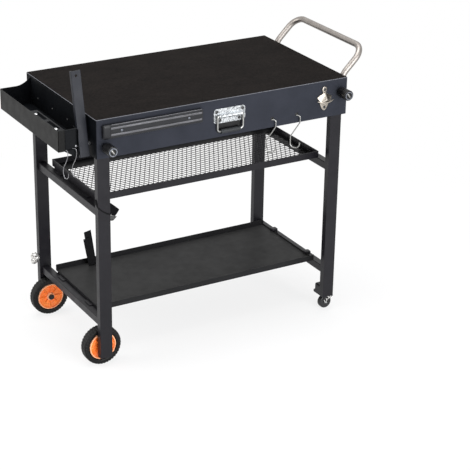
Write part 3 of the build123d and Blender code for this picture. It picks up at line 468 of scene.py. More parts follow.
# metals: dark and light tone, roughness and its spread, grains to the metre
brushed_steel = bright_metal(
    "brushed_steel", screen(134, 128, 124), screen(148, 143, 138), 0.44, 0.03, 25, dents=0.0
)
rail_steel = bright_metal(
    "rail_steel", screen(82, 82, 85), screen(112, 112, 115), 0.34, 0.06, 90, stretch=(0.3, 6, 6)
)
bolt_steel = bright_metal("bolt_steel", screen(107, 107, 109), screen(156, 156, 159), 0.32, 0.08, 500)
ring_steel = bright_metal("ring_steel", screen(92, 95, 102), screen(130, 133, 140), 0.42, 0.06, 300)
wire_steel = bright_metal("wire_steel", screen(134, 134, 132), screen(183, 183, 180), 0.3, 0.06, 700)
cast_nickel = bright_metal(
    "cast_nickel", screen(130, 123, 114), screen(184, 177, 167), 0.36, 0.08, 420, dents=0.12
)
zinc_bits = bright_metal("zinc_bits", screen(186, 188, 189), screen(226, 227, 227), 0.28, 0.06, 600)
wing_zinc = worn_zinc("wing_zinc", per_metre=330, dark_share=0.25)
fork_zinc = worn_zinc("fork_zinc", per_metre=240, dark_share=0.66)
zinc_plate = spangled_zinc()
# mouldings: dark and light tone, roughness, specular level, grains to the metre, depth of the skin
knob_plastic = moulded("knob_plastic", screen(8, 8, 9), screen(14, 14, 16), 0.3, 0.35)
caster_plastic = moulded("caster_plastic", screen(16, 16, 17), screen(28, 28, 30), 0.45)
grip_plastic = moulded("grip_plastic", screen(24, 26, 28), screen(38, 41, 44), 0.5, 0.35)
hub_plastic = hub_orange(-LEG_X / 1000, WHEEL_R / 1000)
tyre_rubber = moulded("tyre_rubber", screen(5, 5, 5), screen(16, 16, 16), 0.45, 0.2, 420, 0.8)
screw_black = moulded("screw_black", screen(18, 18, 19), screen(34, 34, 35), 0.35, 0.6, 900)
strap_web = webbing("strap_webbing", screen(8, 8, 9), screen(24, 24, 26))
strap_loops = webbing("strap_loop_side", screen(70, 70, 70), screen(112, 112, 110))

cad_finishes = {
    table_finish: ["table_top"],
    frame_coat: [
        "left_front_leg", "left_back_leg", "left_upper_bar", "left_lower_bar",
        "right_front_leg", "right_back_leg", "right_upper_bar", "right_lower_bar",
        "left_shelf_hooks", "mesh_shelf_hooks", "lower_shelf_hooks", "mesh_shelf_frame",
        "caster_brackets",
    ],
    arm_coat: ["towel_arm"],
    tray_coat: ["side_tray"],
    shelf_coat: ["lower_shelf"],
    mesh_coat: ["mesh_panel"],
    bar_coat: ["magnetic_bar"],
    rail_steel: ["magnetic_bar_rails"],
    brushed_steel: ["push_handle"],
    bolt_steel: ["back_pivot_bolts", "handle_bolts", "towel_arm_bolt"],
    ring_steel: ["left_knob_ring", "right_knob_ring", "left_knob_stud", "right_knob_stud"],
    zinc_bits: ["front_caster_pins", "back_caster_pins"],
    wire_steel: ["front_hook_1", "front_hook_2", "tray_hook_1", "tray_hook_2", "chest_handle_bail"],
    cast_nickel: ["bottle_opener"],
    zinc_plate: ["chest_handle_plate", "wing_screw"],
    knob_plastic: ["left_knob", "right_knob", "handle_saddles", "pivot_spacers", "wheel_axles"],
    fork_zinc: ["front_caster_fork", "back_caster_fork"],
    caster_plastic: ["front_caster_wheel", "back_caster_wheel", "front_brake_pedal", "back_brake_pedal"],
    grip_plastic: ["chest_handle_grip"],
    hub_plastic: ["front_hub", "back_hub"],
    tyre_rubber: ["front_tyre", "back_tyre"],
    screw_black: ["front_screws", "tray_screws"],
    strap_web: ["leg_strap", "shelf_strap"],
}
for finish, names in cad_finishes.items():
    for name in names:
        nodes[name].data.materials.clear()
        nodes[name].data.materials.append(finish)

# Expanded mesh shelf


def expanded_mesh(half_l, half_w, low, high, pitch_x, pitch_y, strand, knuckle):
    """Expanded steel: knuckles on a diamond lattice, each a short bar of two strand widths lying along
    the depth; from its ends two strands part to the left and right and run to the knuckles half a
    pitch away. The strands are tipped, so one edge of each knuckle stands higher than the other."""
    cols, rows = int(2 * half_l / pitch_x), int(2 * half_w / pitch_y)
    col, row = np.meshgrid(np.arange(2 * cols + 1), np.arange(2 * rows + 1), indexing="ij")
    taken = (col + row) % 2 == 0
    col, row = col[taken], row[taken]
    x = (col - cols) * pitch_x / 2
    y = (row - rows) * pitch_y / 2
    mid, tip = (low + high) / 2, (high - low) / 2
    thick = tip * 1.7
    across = np.array([-strand, 0.0, strand])
    tilt = np.array([-1.0, 0.0, 1.0]) * (tip - thick / 2)
    # corner order: end of the knuckle, place across it, under or upper side
    end, place, side = (grid.ravel() for grid in np.meshgrid([-1, 1], [0, 1, 2], [-1, 1], indexing="ij"))
    points = np.stack(
        np.broadcast_arrays(
            x[:, None] + across[place],
            y[:, None] + end * knuckle / 2,
            mid + tilt[place] + side * thick / 2,
        ),
        2,
    )
    number = np.full((2 * cols + 2, 2 * rows + 2), -1)
    number[col, row] = np.arange(len(col))

    def corner(knot, end, place, side):
        """Number of one of a knuckle's twelve corners."""
        return knot * 12 + end * 6 + place * 2 + side

    faces = []
    own = np.arange(len(col))
    for place in (0, 1):
        for side in (0, 1):
            around = ((0, place), (0, place + 1), (1, place + 1), (1, place))
            quad = [corner(own, end, spot, side) for end, spot in around]
            faces.append(np.stack(quad if side else quad[::-1], 1))
    for place in (0, 2):
        quad = [corner(own, end, place, side) for end, side in ((0, 0), (0, 1), (1, 1), (1, 0))]
        faces.append(np.stack(quad if place else quad[::-1], 1))
    for step in (-1, 1):
        there = number[col + step, row + 1]
        there = np.where((col + step >= 0) & (col + step <= 2 * cols), there, -1)
        near, far = own[there >= 0], there[there >= 0]
        near_places = (1, 2) if step > 0 else (0, 1)
        far_places = (0, 1) if step > 0 else (1, 2)
        ring = [(0, 0), (1, 0), (1, 1), (0, 1)]
        for (place, side), (next_place, next_side) in zip(ring, ring[1:] + ring[:1]):
            quad = [
                corner(near, 1, near_places[place], side),
                corner(near, 1, near_places[next_place], next_side),
                corner(far, 0, far_places[next_place], next_side),
                corner(far, 0, far_places[place], side),
            ]
            faces.append(np.stack(quad, 1))
    return points.reshape(-1, 3), np.concatenate(faces)


def flat_rim(half_l, half_w, width, low, high):
    """A flat picture-frame strip: the same square ring four times, outer and inner, below and above."""
    corners = np.array([(-1, -1), (1, -1), (1, 1), (-1, 1)], float)
    outer, inner = corners * (half_l, half_w), corners * (half_l - width, half_w - width)
    rings = [(outer, low), (outer, high), (inner, high), (inner, low)]
    points = np.concatenate([np.c_[ring, np.full(4, height)] for ring, height in rings])
    return points, grid_faces(4, 4, close_rows=True, close_cols=True)


BACK_STRIP_WIDE, BACK_STRIP_THICK = 60.0, 1.0
panel_lo, panel_hi = node_box("mesh_panel")
panel_l, panel_w = (panel_hi - panel_lo)[:2] / 2
panel_low, panel_top = panel_lo[2], panel_hi[2]
strands = expanded_mesh(
    panel_l - 3, panel_w - 3, panel_low, panel_top, pitch_x=16.5, pitch_y=30.2, strand=2.1, knuckle=3.4
)
mesh_rim = flat_rim(panel_l, panel_w, width=9.0, low=panel_low + 0.2, high=panel_top - 0.2)
shelf_mesh = make_piece("shelf_mesh", *join_arrays(strands, mesh_rim), mesh_coat, smooth=False)
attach(shelf_mesh, "mesh_shelf")
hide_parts("mesh_panel")
# painted shade: a dark strip over the back of the mesh, for the shade under the apron and the back rail
# there
strip_box = plain_box(
    (-panel_l, panel_w - BACK_STRIP_WIDE, panel_top), (panel_l, panel_w, panel_top + BACK_STRIP_THICK)
)
back_shade_strip = make_piece("mesh_shelf_back_strip", *strip_box, tray_painted_shade, smooth=False)
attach(back_shade_strip, "mesh_shelf")

# Tyres


def lugged_tyre(node, blocks=38, groove=1.5):
    """Tyre turned about the axle. The section is a rounded box between the rim and the tread; where a
    point lies outside the block pattern it drops by the groove's depth. The two rows of blocks are half
    a pitch apart and run over the shoulders."""
    lo, hi = node_box(node)
    centre, half_w, outer = (lo + hi) / 2, (hi - lo)[1] / 2, (hi - lo)[2] / 2
    block_half, block_edge = 0.36, 0.05
    gap_half, gap_edge = 1.4, 1.2
    tread_deep, tread_fade = 9.0, 3.0
    section = np.linspace(0, TAU, 48, endpoint=False)
    flat = squared_circle(section, 4.5)
    mid_r, half_r = (outer + RIM_R) / 2, (outer - RIM_R) / 2
    radius, across = mid_r + half_r * np.cos(section) * flat, half_w * np.sin(section) * flat
    radius = np.maximum(radius, RIM_R + 0.05)
    turn = np.linspace(0, TAU, blocks * 14, endpoint=False)
    angle, radius = np.meshgrid(turn, radius, indexing="ij")
    across = np.broadcast_to(across, angle.shape)
    row = np.where(across > 0, 0.0, 0.5)
    phase = np.abs((angle * blocks / TAU + row) % 1.0 - 0.5)
    block = np.clip((block_half - phase) / block_edge, 0, 1)
    ridge = np.clip((np.abs(across) - gap_half) / gap_edge, 0, 1)
    reach = np.clip((radius - (outer - tread_deep)) / tread_fade, 0, 1)
    drop = groove * reach * (1 - block * ridge)
    inward = np.clip((radius - mid_r) / half_r, 0, 1)
    side_drop = drop * (np.abs(across) / half_w) ** 4 * 0.5
    return about_axle(radius - drop * inward, across - np.sign(across) * side_drop, angle, centre)


for end in ("front", "back"):
    tyre = make_piece(f"{end}_lugged_tyre", *lugged_tyre(f"{end}_tyre"), tyre_rubber)
    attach(tyre, f"{end}_wheel")
    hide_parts(f"{end}_tyre")

# Wheel hubs


def eased(value, start, end):
    """0 before start, 1 after end, and the smooth cubic 3t^2 - 2t^3 between."""
    share = np.clip((value - start) / (end - start), 0, 1)
    return share * share * (3 - 2 * share)


def ribbed_hub(node, ribs=8, bore=6.1, boss=12.0):
    """Moulded wheel centre turned about the axle. On both faces the height over the middle plane is a
    bowl that rises as the square of the radius, a boss in its middle, a rounded bead at the rim, a low
    ring half way out, and straight ribs that lift the bowl where a point lies close to a spoke line."""
    lo, hi = node_box(node)
    centre, reach = (lo + hi) / 2, (hi - lo)[1] / 2
    bowl_deep, bowl_rise, rib_deep = 8.0, 2.2, 3.0
    ring_r, ring_size, bead_r = 28.5, 1.3, 41.6
    radius = np.concatenate(
        [np.linspace(bore, boss + 3, 9), np.linspace(boss + 4, 37, 20), np.linspace(37.6, RIM_R, 10)]
    )
    turn = np.linspace(0, TAU, ribs * 26, endpoint=False)
    angle, radius = np.meshgrid(turn, radius, indexing="ij")
    bowl = reach - bowl_deep + bowl_rise * ((radius - boss) / (RIM_R - boss)) ** 2
    bowl = bowl + ring_size * np.exp(-(((radius - ring_r) / ring_size) ** 2))
    off_spoke = np.abs(((angle * ribs / TAU + 0.5) % 1.0 - 0.5) * TAU / ribs) * radius
    rib = 1 - eased(off_spoke, 1.0, 2.4)
    height = bowl + (reach - rib_deep - bowl) * rib
    height = height + (reach - 0.2 - height) * (1 - eased(radius, boss - 0.5, boss + 2.2))
    bead = reach - 1.0 - 0.35 * (radius - bead_r) ** 2
    height = height + (bead - height) * eased(radius, 37.5, 40.0)
    across = np.concatenate([-height, height[:, ::-1]], 1)
    radius, angle = (np.concatenate([face, face[:, ::-1]], 1) for face in (radius, angle))
    return about_axle(radius, across, angle, centre)


for end in ("front", "back"):
    hub = make_piece(f"{end}_ribbed_hub", *ribbed_hub(f"{end}_hub"), hub_plastic)
    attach(hub, f"{end}_wheel")
    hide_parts(f"{end}_hub")

# Bars on the knob faces


def face_bar(centre, long, wide, high, tilt):
    """Raised bar with round ends on the knob's face: rings of a stretched super-ellipse, drawn in at the
    top for a soft edge and then almost to the middle, all turned by the tilt in the plane of the face."""
    turn = np.linspace(0, TAU, 40, endpoint=False)
    flat = squared_circle(turn, 3.0)
    size = np.array([1.0, 1.0, 0.8, 0.02])[:, None]
    along, over = size * long / 2 * np.cos(turn) * flat, size * wide / 2 * np.sin(turn) * flat
    level, steep = np.cos(np.radians(tilt)), np.sin(np.radians(tilt))
    out = np.broadcast_to(np.array([0.0, 0.75, 1.0, 1.0])[:, None] * high, along.shape)
    points = np.stack([along * level - over * steep, -out, along * steep + over * level], 2)
    points = points + np.asarray(centre, float)
    return points.reshape(-1, 3), grid_faces(4, len(turn), close_cols=True)


KNOB_FACE_Y = -301.5
for side, x, z in (("left", -LEG_X, LEFT_PIVOT_Z), ("right", LEG_X, RIGHT_PIVOT_Z)):
    raised_bar = face_bar((x, KNOB_FACE_Y, z), long=17.0, wide=5.0, high=1.3, tilt=-54.0)
    bar = make_piece(f"{side}_knob_bar", *raised_bar, wire_steel)
    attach(bar, f"{side}_knob")

# Cast bottle opener


def cast_opener(x, y, top, low):
    """Wall opener: a back plate whose half width follows a round upper tab, a waist and a shield-shaped
    lower tab; a hood of two nearly flat panels that meet in a ridge and run back to the wall; and a thin
    crescent lip below the hood with horns past its corners."""
    tab_r, tip_drop, waist_half = 9.4, 10.5, 6.2
    shield_half, shield_high = 19.5, 27.0
    hood_bulge, hood_thick, plate_thick = 1.2, 2.2, 3.6
    lip_half, lip_out, lip_curve, lip_up, lip_thick = 30.0, 16.5, 6.0, 18.0, 2.4
    z = np.linspace(low - tip_drop, top + tab_r, 80)
    upper = np.sqrt(np.clip(tab_r**2 - (z - top) ** 2, 0.02, None))
    rise = (z - (low - tip_drop)) / shield_high
    shield = shield_half * np.sqrt(np.clip(rise, 0.003, 1)) * (1 - 0.14 * rise)
    shield = np.where(rise < 1, shield, 0.1)
    waist = np.where((z > low) & (z < top), waist_half, 0.1)
    half = np.maximum(np.maximum(upper, shield), waist)
    across = np.linspace(-1, 1, 13)
    crown = 0.9 * across**4
    plate = np.stack(np.broadcast_arrays(x + half[:, None] * across, y - 4.0 + crown, z[:, None]), 2)
    neck, ridge = (x, y - 5.0, top - 8.0), (x + 2.0, y - 18.5, top - 31.0)
    left_low, left_wall = (x - 18, y - 11, top - 39), (x - 27, y - 2.5, top - 24)
    right_low, right_wall = (x + 18, y - 11, top - 39), (x + 27, y - 2.5, top - 24)
    left = four_corner_sheet([neck, ridge, left_low, left_wall], hood_bulge, hood_thick)
    right = four_corner_sheet([neck, right_wall, right_low, ridge], hood_bulge, hood_thick)
    way = np.linspace(-1, 1, 31)
    curve = lip_curve * way**2
    lip_line = np.stack([x + lip_half * way, y - lip_out + curve, low + lip_up + curve], 1)
    lip_r = lip_thick * np.sqrt(np.clip(1 - np.abs(way) ** 2.2, 0.03, 1))
    return join_arrays(shell(plate, plate_thick), left, right, rod(lip_line, lip_r))


opener = make_piece("cast_opener", *cast_opener(OPENER_X, APRON_Y, OPENER_TOP, OPENER_LOW), cast_nickel)
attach(opener, "table")
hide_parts("bottle_opener")

# Straps


def leg_band(x, y, half_x, half_y, z_back, z_left, z_right, sag, narrow, wide, thick):
    """Strap round a leg: its middle line is a rounded rectangle just off the tube. In front it is drawn
    narrow and falls in a sagging line from the left edge to the right; elsewhere it has its full width."""
    turn = np.linspace(0, TAU, 96, endpoint=False)
    box = 7.0
    flat = squared_circle(turn, box)
    grow = thick / 2 + 0.55
    off_x, off_y = (half_x + grow) * np.cos(turn) * flat, (half_y + grow) * np.sin(turn) * flat
    front = np.clip(-off_y / half_y, 0, 1)
    across = np.clip(off_x / half_x, -1, 1)
    line = (z_left + z_right) / 2 + (z_right - z_left) / 2 * across - sag * (1 - across**2)
    z = z_back + front * (line - z_back)
    out = unit(np.stack([np.cos(turn) * flat ** (box - 1), np.sin(turn) * flat ** (box - 1), 0 * turn], 1))
    middle = np.stack([x + off_x, y + off_y, z], 1)
    side = np.array([0.0, 0.0, 0.5]) * (wide + (narrow - wide) * front)[:, None]
    lift = out * thick / 2
    corners = [middle - side - lift, middle + side - lift, middle + side + lift, middle - side + lift]
    rings = np.stack(corners, 1)
    return rings.reshape(-1, 3), grid_faces(len(turn), 4, True, True)[:, ::-1]


leg_x, leg_y = -LEG_X, -LEG_Y
strap_round = leg_band(
    leg_x, leg_y, half_x=20.0, half_y=10.0, z_back=549.0, z_left=537.0, z_right=508.0,
    sag=3.5, narrow=5.0, wide=16.0, thick=1.6,
)
band = make_piece("leg_strap_band", *strap_round, strap_web)
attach(band, "left_frame")
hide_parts("leg_strap")
tail_x = leg_x + 22.2
hook_corners = [(tail_x, -224, 542), (tail_x + 22, -245, 523), (tail_x + 10, -240, 503), (tail_x, -226, 504)]
loop_corners = [(tail_x, -227, 502), (tail_x + 16, -240, 500), (tail_x + 5, -236, 488), (tail_x, -229, 485)]
hook_end = four_corner_sheet(hook_corners, bulge=3.0, thick=1.8)
loop_end = four_corner_sheet(loop_corners, bulge=1.2, thick=1.6)
strap_ends = (("leg_strap_hook_end", hook_end, strap_web), ("leg_strap_loop_end", loop_end, strap_loops))
for name, tail, finish in strap_ends:
    piece = make_piece(name, *tail, finish)
    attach(piece, "left_frame")
    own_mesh(piece)

SHELF_FLOOR = 163.8
foot = SHELF_FLOOR + 1.0
tall_corners = [(-281, 143, foot), (-257, 143, foot), (-277, 137, 292), (-301, 137, 287)]
short_corners = [(-285, 139, foot), (-263, 139, foot), (-285, 130, 270), (-307, 130, 266)]
tall_flap = four_corner_sheet(tall_corners, bulge=3.0, thick=1.6, count=16)
short_flap = four_corner_sheet(short_corners, bulge=4.0, thick=1.6, count=16)
shelf_strap = make_piece("shelf_strap_flaps", *join_arrays(tall_flap, short_flap), strap_web)
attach(shelf_strap, "lower_shelf")
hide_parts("shelf_strap")

# Screws of the front fittings


def cross_screw(centre, radius, height):
    """Pan head seen from the front: on a disc grid the height is a flattened dome, cut by a cross whose
    arms are about a quarter of the radius wide and taper out at two thirds of it."""
    ring, turn = np.linspace(0, 1, 14), np.linspace(0, TAU, 40, endpoint=False)
    off, angle = np.meshgrid(ring, turn, indexing="ij")
    x, z = off * np.cos(angle), off * np.sin(angle)
    dome = height * np.sqrt(np.clip(1 - off**2.6, 0, 1))
    arm = np.minimum(np.abs(x), np.abs(z))
    cut = np.clip((0.16 - arm) / 0.06, 0, 1) * np.clip((0.68 - off) / 0.1, 0, 1)
    y = -(dome - cut * height * 0.6)
    points = np.stack([x * radius, y, z * radius], 2) + np.asarray(centre, float)
    return points.reshape(-1, 3), grid_faces(len(ring), len(turn), close_cols=True)


SCREW_HIGH = 1.9
PLATE_FACE_Y, OPENER_FACE_Y, BAR_FACE_Y = -252.0, -254.0, -262.0
# each screw: x, y, z and the radius of its head
dark_screws = [
    (-37, PLATE_FACE_Y, 776.0, 5.4),
    (53, PLATE_FACE_Y, 776.0, 5.4),
    (-25, PLATE_FACE_Y, 748.0, 5.2),
    (41, PLATE_FACE_Y, 748.0, 5.2),
    (OPENER_X, OPENER_FACE_Y, OPENER_TOP, 4.6),
    (OPENER_X, OPENER_FACE_Y, OPENER_LOW, 4.6),
]
bright_screws = [(-356, BAR_FACE_Y, 777.0, 4.0), (-135, BAR_FACE_Y, 777.0, 4.0)]
for name, places, finish, slot in (
    ("dark_screws", dark_screws, screw_black, "black_plastic"),
    ("bright_screws", bright_screws, ring_steel, "zinc"),
):
    screws = [cross_screw(place[:3], place[3], SCREW_HIGH) for place in places]
    heads = make_piece(name, *join_arrays(*screws), finish)
    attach(heads, "table")
    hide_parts("front_screws")

# Painted highlight along the tool bar's top edge, and the bar's moulded end


def level_rod(from_x, to_x, y, z, radius, count, sides):
    """Straight round bar along x at one depth and height."""
    x = np.linspace(from_x, to_x, count)
    return rod(np.stack([x, np.full(count, y), np.full(count, z)], 1), np.full(count, radius), sides)


# painted highlight: a thin bright steel rod along the bar's top front edge
lip = level_rod(-388.0, -92.0, y=-261.6, z=797.6, radius=0.9, count=8, sides=8)
bar_edge_highlight = make_piece("tool_bar_lip", *lip, rail_steel)
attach(bar_edge_highlight, "table")
end_block = rounded_block((-415.0, -264.2, 755.5), (-389.0, -250.2, 798.5))
tool_end = make_piece("tool_bar_end", *end_block, bar_coat)
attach(tool_end, "table")

# Side tray


def standing_strip(x, low, high, y, thick):
    """Wall across the depth: between the low and the high line, given at each x, and one sheet thick."""
    x, low, high = (np.asarray(line, float) for line in (x, low, high))
    rings = [(low, y), (high, y), (high, y + thick), (low, y + thick)]
    points = np.stack([np.stack([x, np.full(len(x), deep), line], 1) for line, deep in rings], 1)
    faces = grid_faces(len(x), 4, close_cols=True)
    last = 4 * (len(x) - 1)
    caps = np.array([[3, 2, 1, 0], [last, last + 1, last + 2, last + 3]])
    return points.reshape(-1, 3), np.concatenate([faces, caps])


TRAY_OUT, TRAY_END, TRAY_HALF = -535.0, -432.3, 214.0
TRAY_LOW, TRAY_RIM, TRAY_SHEET = 722.5, 787.0, 1.2
END_WALL_Y, END_WALL_X = -209.0, -513.0
END_WALL_LOW, END_WALL_TOP = 737.0, TRAY_RIM - 3.0
BOX_TOP, EAR_X, EAR_LOW = 811.0, -474.0, 700.0
SWEEP_FROM, SWEEP_LONG, SWEEP_POWER = -482.0, 50.0, 1.9
FLANGE_FROM, FLANGE_TO, FLANGE_LOW, FLANGE_TOP = -205.0, -10.0, 783.4, 784.6
sweep_x = np.linspace(TRAY_OUT, TRAY_END, 40)
sweep_up = np.clip((sweep_x - SWEEP_FROM) / SWEEP_LONG, 0, 1) ** SWEEP_POWER
sweep_z = TRAY_RIM + (BOX_TOP - TRAY_RIM) * sweep_up
outer_wall = make_piece(
    "tray_outer_wall",
    *join_arrays(
        plain_box((TRAY_OUT, -TRAY_HALF, TRAY_LOW), (TRAY_OUT + TRAY_SHEET, TRAY_HALF, TRAY_RIM)),
        plain_box((TRAY_OUT, -TRAY_HALF, TRAY_LOW), (END_WALL_X, -TRAY_HALF + TRAY_SHEET, TRAY_RIM)),
    ),
    tray_coat,
    smooth=False,
)
side_in, floor_top, back_from = TRAY_HALF - 0.5, TRAY_LOW + TRAY_SHEET, END_WALL_Y + 40
flange_out, flange_in = TRAY_OUT + 0.6, TRAY_OUT + 25.0
gusset_x, gusset_low = [-518.0, END_WALL_X, EAR_X], [723.0, 720.0, 694.0]
gusset_top = [723.5, END_WALL_LOW, END_WALL_LOW]
# the tray's inside pieces take the painted-shade copy of the tray coat
inside = make_piece(
    "tray_inside",
    *join_arrays(
        plain_box((TRAY_OUT + 0.5, -side_in, TRAY_LOW), (EAR_X, side_in, floor_top)),
        plain_box((EAR_X, back_from, TRAY_LOW), (TRAY_END, side_in, floor_top)),
        plain_box((TRAY_END - TRAY_SHEET, back_from, TRAY_LOW), (TRAY_END, side_in, BOX_TOP)),
        plain_box((END_WALL_X, END_WALL_Y, END_WALL_LOW), (EAR_X, END_WALL_Y + TRAY_SHEET, END_WALL_TOP)),
        plain_box((EAR_X, END_WALL_Y - 9, EAR_LOW), (EAR_X + TRAY_SHEET, END_WALL_Y + 28, END_WALL_TOP)),
        plain_box((END_WALL_X - 1.2, -TRAY_HALF, TRAY_LOW), (END_WALL_X, END_WALL_Y + 1.0, TRAY_RIM - 0.3)),
        standing_strip(sweep_x, np.full(40, TRAY_LOW), sweep_z, TRAY_HALF - TRAY_SHEET, TRAY_SHEET),
        standing_strip(gusset_x, gusset_low, gusset_top, END_WALL_Y, TRAY_SHEET),
        level_rod(END_WALL_X, EAR_X, END_WALL_Y, END_WALL_TOP, radius=2.2, count=12, sides=10),
        plain_box((flange_out, FLANGE_FROM, FLANGE_LOW), (flange_out + 7.0, FLANGE_TO, FLANGE_TOP)),
        plain_box((flange_in - 5.0, FLANGE_FROM, FLANGE_LOW), (flange_in, FLANGE_TO, FLANGE_TOP)),
        *[plain_box((flange_out, y - 9, 783.5), (flange_in, y + 9, 784.5)) for y in (-196.0, -107.0, -19.0)],
    ),
    tray_painted_shade,
    smooth=False,
)
# painted glints: small bright zinc clips on the tray rim, put there to give its two glints
rim_clips = [rounded_block((-534.6, y - 6, 785.0), (-527.0, y + 6, 789.5), 4.0) for y in (-50.0, -192.0)]
glint_clips = make_piece("tray_rim_clips", *join_arrays(*rim_clips), zinc_bits)
for piece in (outer_wall, inside):
    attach(piece, "table")
    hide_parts("side_tray")
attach(glint_clips, "table")

# Hooks under the tray


def hanging_wire(x, y, z, turn, start, knots):
    """Bent wire in a standing plane: a straight level run leads from the start to the first knot, and a
    smooth line follows the knots, each given by the way along the plane and the height. The plane is
    turned about the vertical, away from x."""
    way = np.array([np.cos(turn), -np.sin(turn), 0.0])
    knots = np.asarray(knots, float)
    line = np.array([x, y, z]) + knots[:, :1] * way + knots[:, 1:] * (0.0, 0.0, 1.0)
    line = np.concatenate([line[:1] + (start - knots[0, 0]) * way, smooth_line(line, 70)])
    return rod(line, np.full(len(line), TRAY_WIRE_R), 10)


TRAY_WIRE_R = 1.1
TRAY_HOOK_Y, TRAY_HOOK_Z = -213.4, 745.0
tray_hook_knots = [
    (1.5, -18.8), (5, -22), (6, -32), (4, -45), (0, -57), (-6, -69),
    (-9, -83), (-8, -97), (-4, -106), (2, -107), (6, -101), (7, -90),
]
for count, x, start in ((1, -512.0, -5.0), (2, -484.0, -11.0)):
    bent = hanging_wire(x, TRAY_HOOK_Y, TRAY_HOOK_Z, np.pi / 4, start, tray_hook_knots)
    wire = make_piece(f"tray_hook_wire_{count}", *bent, bolt_steel)
    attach(wire, f"tray_hook_{count}")
    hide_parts(f"tray_hook_{count}")

# Dark sheet behind the bail: painted shadow of the handle and its grip

pad_box = plain_box((-33.0, APRON_Y - 0.4, 709.0), (49.0, APRON_Y + 0.1, 745.0))
bail_shadow_pad = make_piece("bail_shadow_pad", *pad_box, knob_plastic, smooth=False)
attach(bail_shadow_pad, "table")

# Caster brackets

FOOT_Y, FOOT_HALF, FOOT_LOW, FOOT_TOP = 197.5, 17.0, 57.0, 88.0
feet_boxes = [
    rounded_block(
        (LEG_X - FOOT_HALF, y - FOOT_HALF, FOOT_LOW), (LEG_X + FOOT_HALF, y + FOOT_HALF, FOOT_TOP), 9.0
    )
    for y in (-FOOT_Y, FOOT_Y)
]
feet = make_piece("caster_bracket_boxes", *join_arrays(*feet_boxes), frame_coat)
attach(feet, "right_frame")

# Grommets in the hook holes


def hook_grommet(centre, hole_r, wire_up, wire_r):
    """Rubber filling of a hook hole: a flat ring whose outer edge is the hole and whose inner edge is an
    ellipse about the wire, which lies at the bottom of the hole."""
    slot_wide, slot_high = 1.55 * wire_r, 1.12 * wire_r
    face, back = -0.2, 1.3
    turn = np.linspace(0, TAU, 32, endpoint=False)
    outer = np.stack([hole_r * np.cos(turn), hole_r * np.sin(turn)], 1)
    inner = np.stack([slot_wide * np.cos(turn), slot_high * np.sin(turn) + wire_up], 1)
    rings = [(outer, face), (inner, face), (inner, back), (outer, back)]
    points = np.stack([np.c_[ring[:, 0], np.full(32, deep), ring[:, 1]] for ring, deep in rings])
    return (points + np.asarray(centre, float)).reshape(-1, 3), grid_faces(4, 32, True, True)


HOOK_HOLE_R, WIRE_R, HOOK_Z = 5.5, 1.75, 719.0
wire_drop = WIRE_R - HOOK_HOLE_R
hole_z = HOOK_Z + HOOK_HOLE_R - WIRE_R
grommets = [hook_grommet((x, APRON_Y, hole_z), HOOK_HOLE_R, wire_drop, WIRE_R) for x in (160.0, 248.0)]
grommets = make_piece("hook_grommets", *join_arrays(*grommets), knob_plastic)
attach(grommets, "table")

# Wing screw


def wing_nut(x, y, z, foot_r, neck_r, high, ear, span, thick):
    """Wing nut on an axle along x: a turned cone from the foot to the neck, and two ears, each a thick
    super-ellipsoid, near round in outline, whose outer end lies the span from the axle."""
    turn = np.linspace(0, TAU, 28, endpoint=False)
    step = np.array([0.0, 0.0, 0.55, 0.9, 1.0, 1.0])[:, None]
    radius = np.array([0.3, foot_r, foot_r * 0.86, neck_r, neck_r * 0.8, 0.3])[:, None]
    rings = (x - high * step, y + radius * np.cos(turn), z + radius * np.sin(turn))
    cone = np.stack(np.broadcast_arrays(*rings), 2)
    pieces = [(cone.reshape(-1, 3), grid_faces(*cone.shape[:2], close_cols=True))]
    for way in (-1, 1):
        middle = np.array([x - high * 0.85, y, z + way * (span - ear)])
        half = (ear * 1.05, thick / 2, ear)
        pieces.append(rounded_block(middle - half, middle + half, 2.4))
    return join_arrays(*pieces)


wing_shape = wing_nut(
    -424.4, LEG_Y, 190.0, foot_r=11.0, neck_r=8.5, high=17.0, ear=11.0, span=20.0, thick=12.0
)
wings = make_piece("wing_screw_head", *wing_shape, wing_zinc)
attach(wings, "wing_screw")
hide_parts("wing_screw")

# Shelf ends and hook tabs

STRIP_OUT, STRIP_IN, STRIP_HALF = -391.4, -389.2, 150.0
strips = [
    rounded_block((STRIP_OUT, -STRIP_HALF, low), (STRIP_IN, STRIP_HALF, top), 12.0)
    for low, top in ((155.0, 162.3), (517.5, 524.8))
]
end_strips = make_piece("shelf_end_strips", *join_arrays(*strips), frame_coat)
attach(end_strips, "shelf_hooks")

TAB_X, TAB_LONG, TAB_WIDE, TAB_HIGH = 397.0, 22.0, 20.0, 11.0
tab_lo = np.array([-TAB_LONG / 2, -TAB_WIDE / 2, 0.0])
tab_hi = np.array([TAB_LONG / 2, TAB_WIDE / 2, TAB_HIGH])
for body, low in (("lower_shelf", 162.8), ("mesh_shelf", 525.3)):
    places = [np.array([TAB_X, y, low]) for y in (100.0, -110.0)]
    tabs = [rounded_block(place + tab_lo, place + tab_hi) for place in places]
    piece = make_piece(f"{body}_hook_tabs", *join_arrays(*tabs), frame_coat)
    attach(piece, body)

# Rounded edges on the legs


def round_edges(name, width):
    """Joins a CAD node's loose triangles and rolls its sharp edges over by a small radius."""
    node = nodes[name]
    weld = node.modifiers.new("joined", "WELD")
    weld.merge_threshold = 0.00002
    roll = node.modifiers.new("rolled_edges", "BEVEL")
    roll.width = width / 1000.0
    roll.segments = 2
    roll.limit_method = "ANGLE"
    roll.angle_limit = np.radians(60)


for leg in ("left_front_leg", "left_back_leg", "right_front_leg", "right_back_leg"):
    round_edges(leg, 1.4)

# Stage, light and camera

FLOOR_OWN_WHITE, SKY_LEVEL = 0.8, 0.3
FLOOR_HALF, FLOOR_Z = 9000.0, -0.4
SENSOR_WIDE, PHOTO_WIDE = 36.0, 470


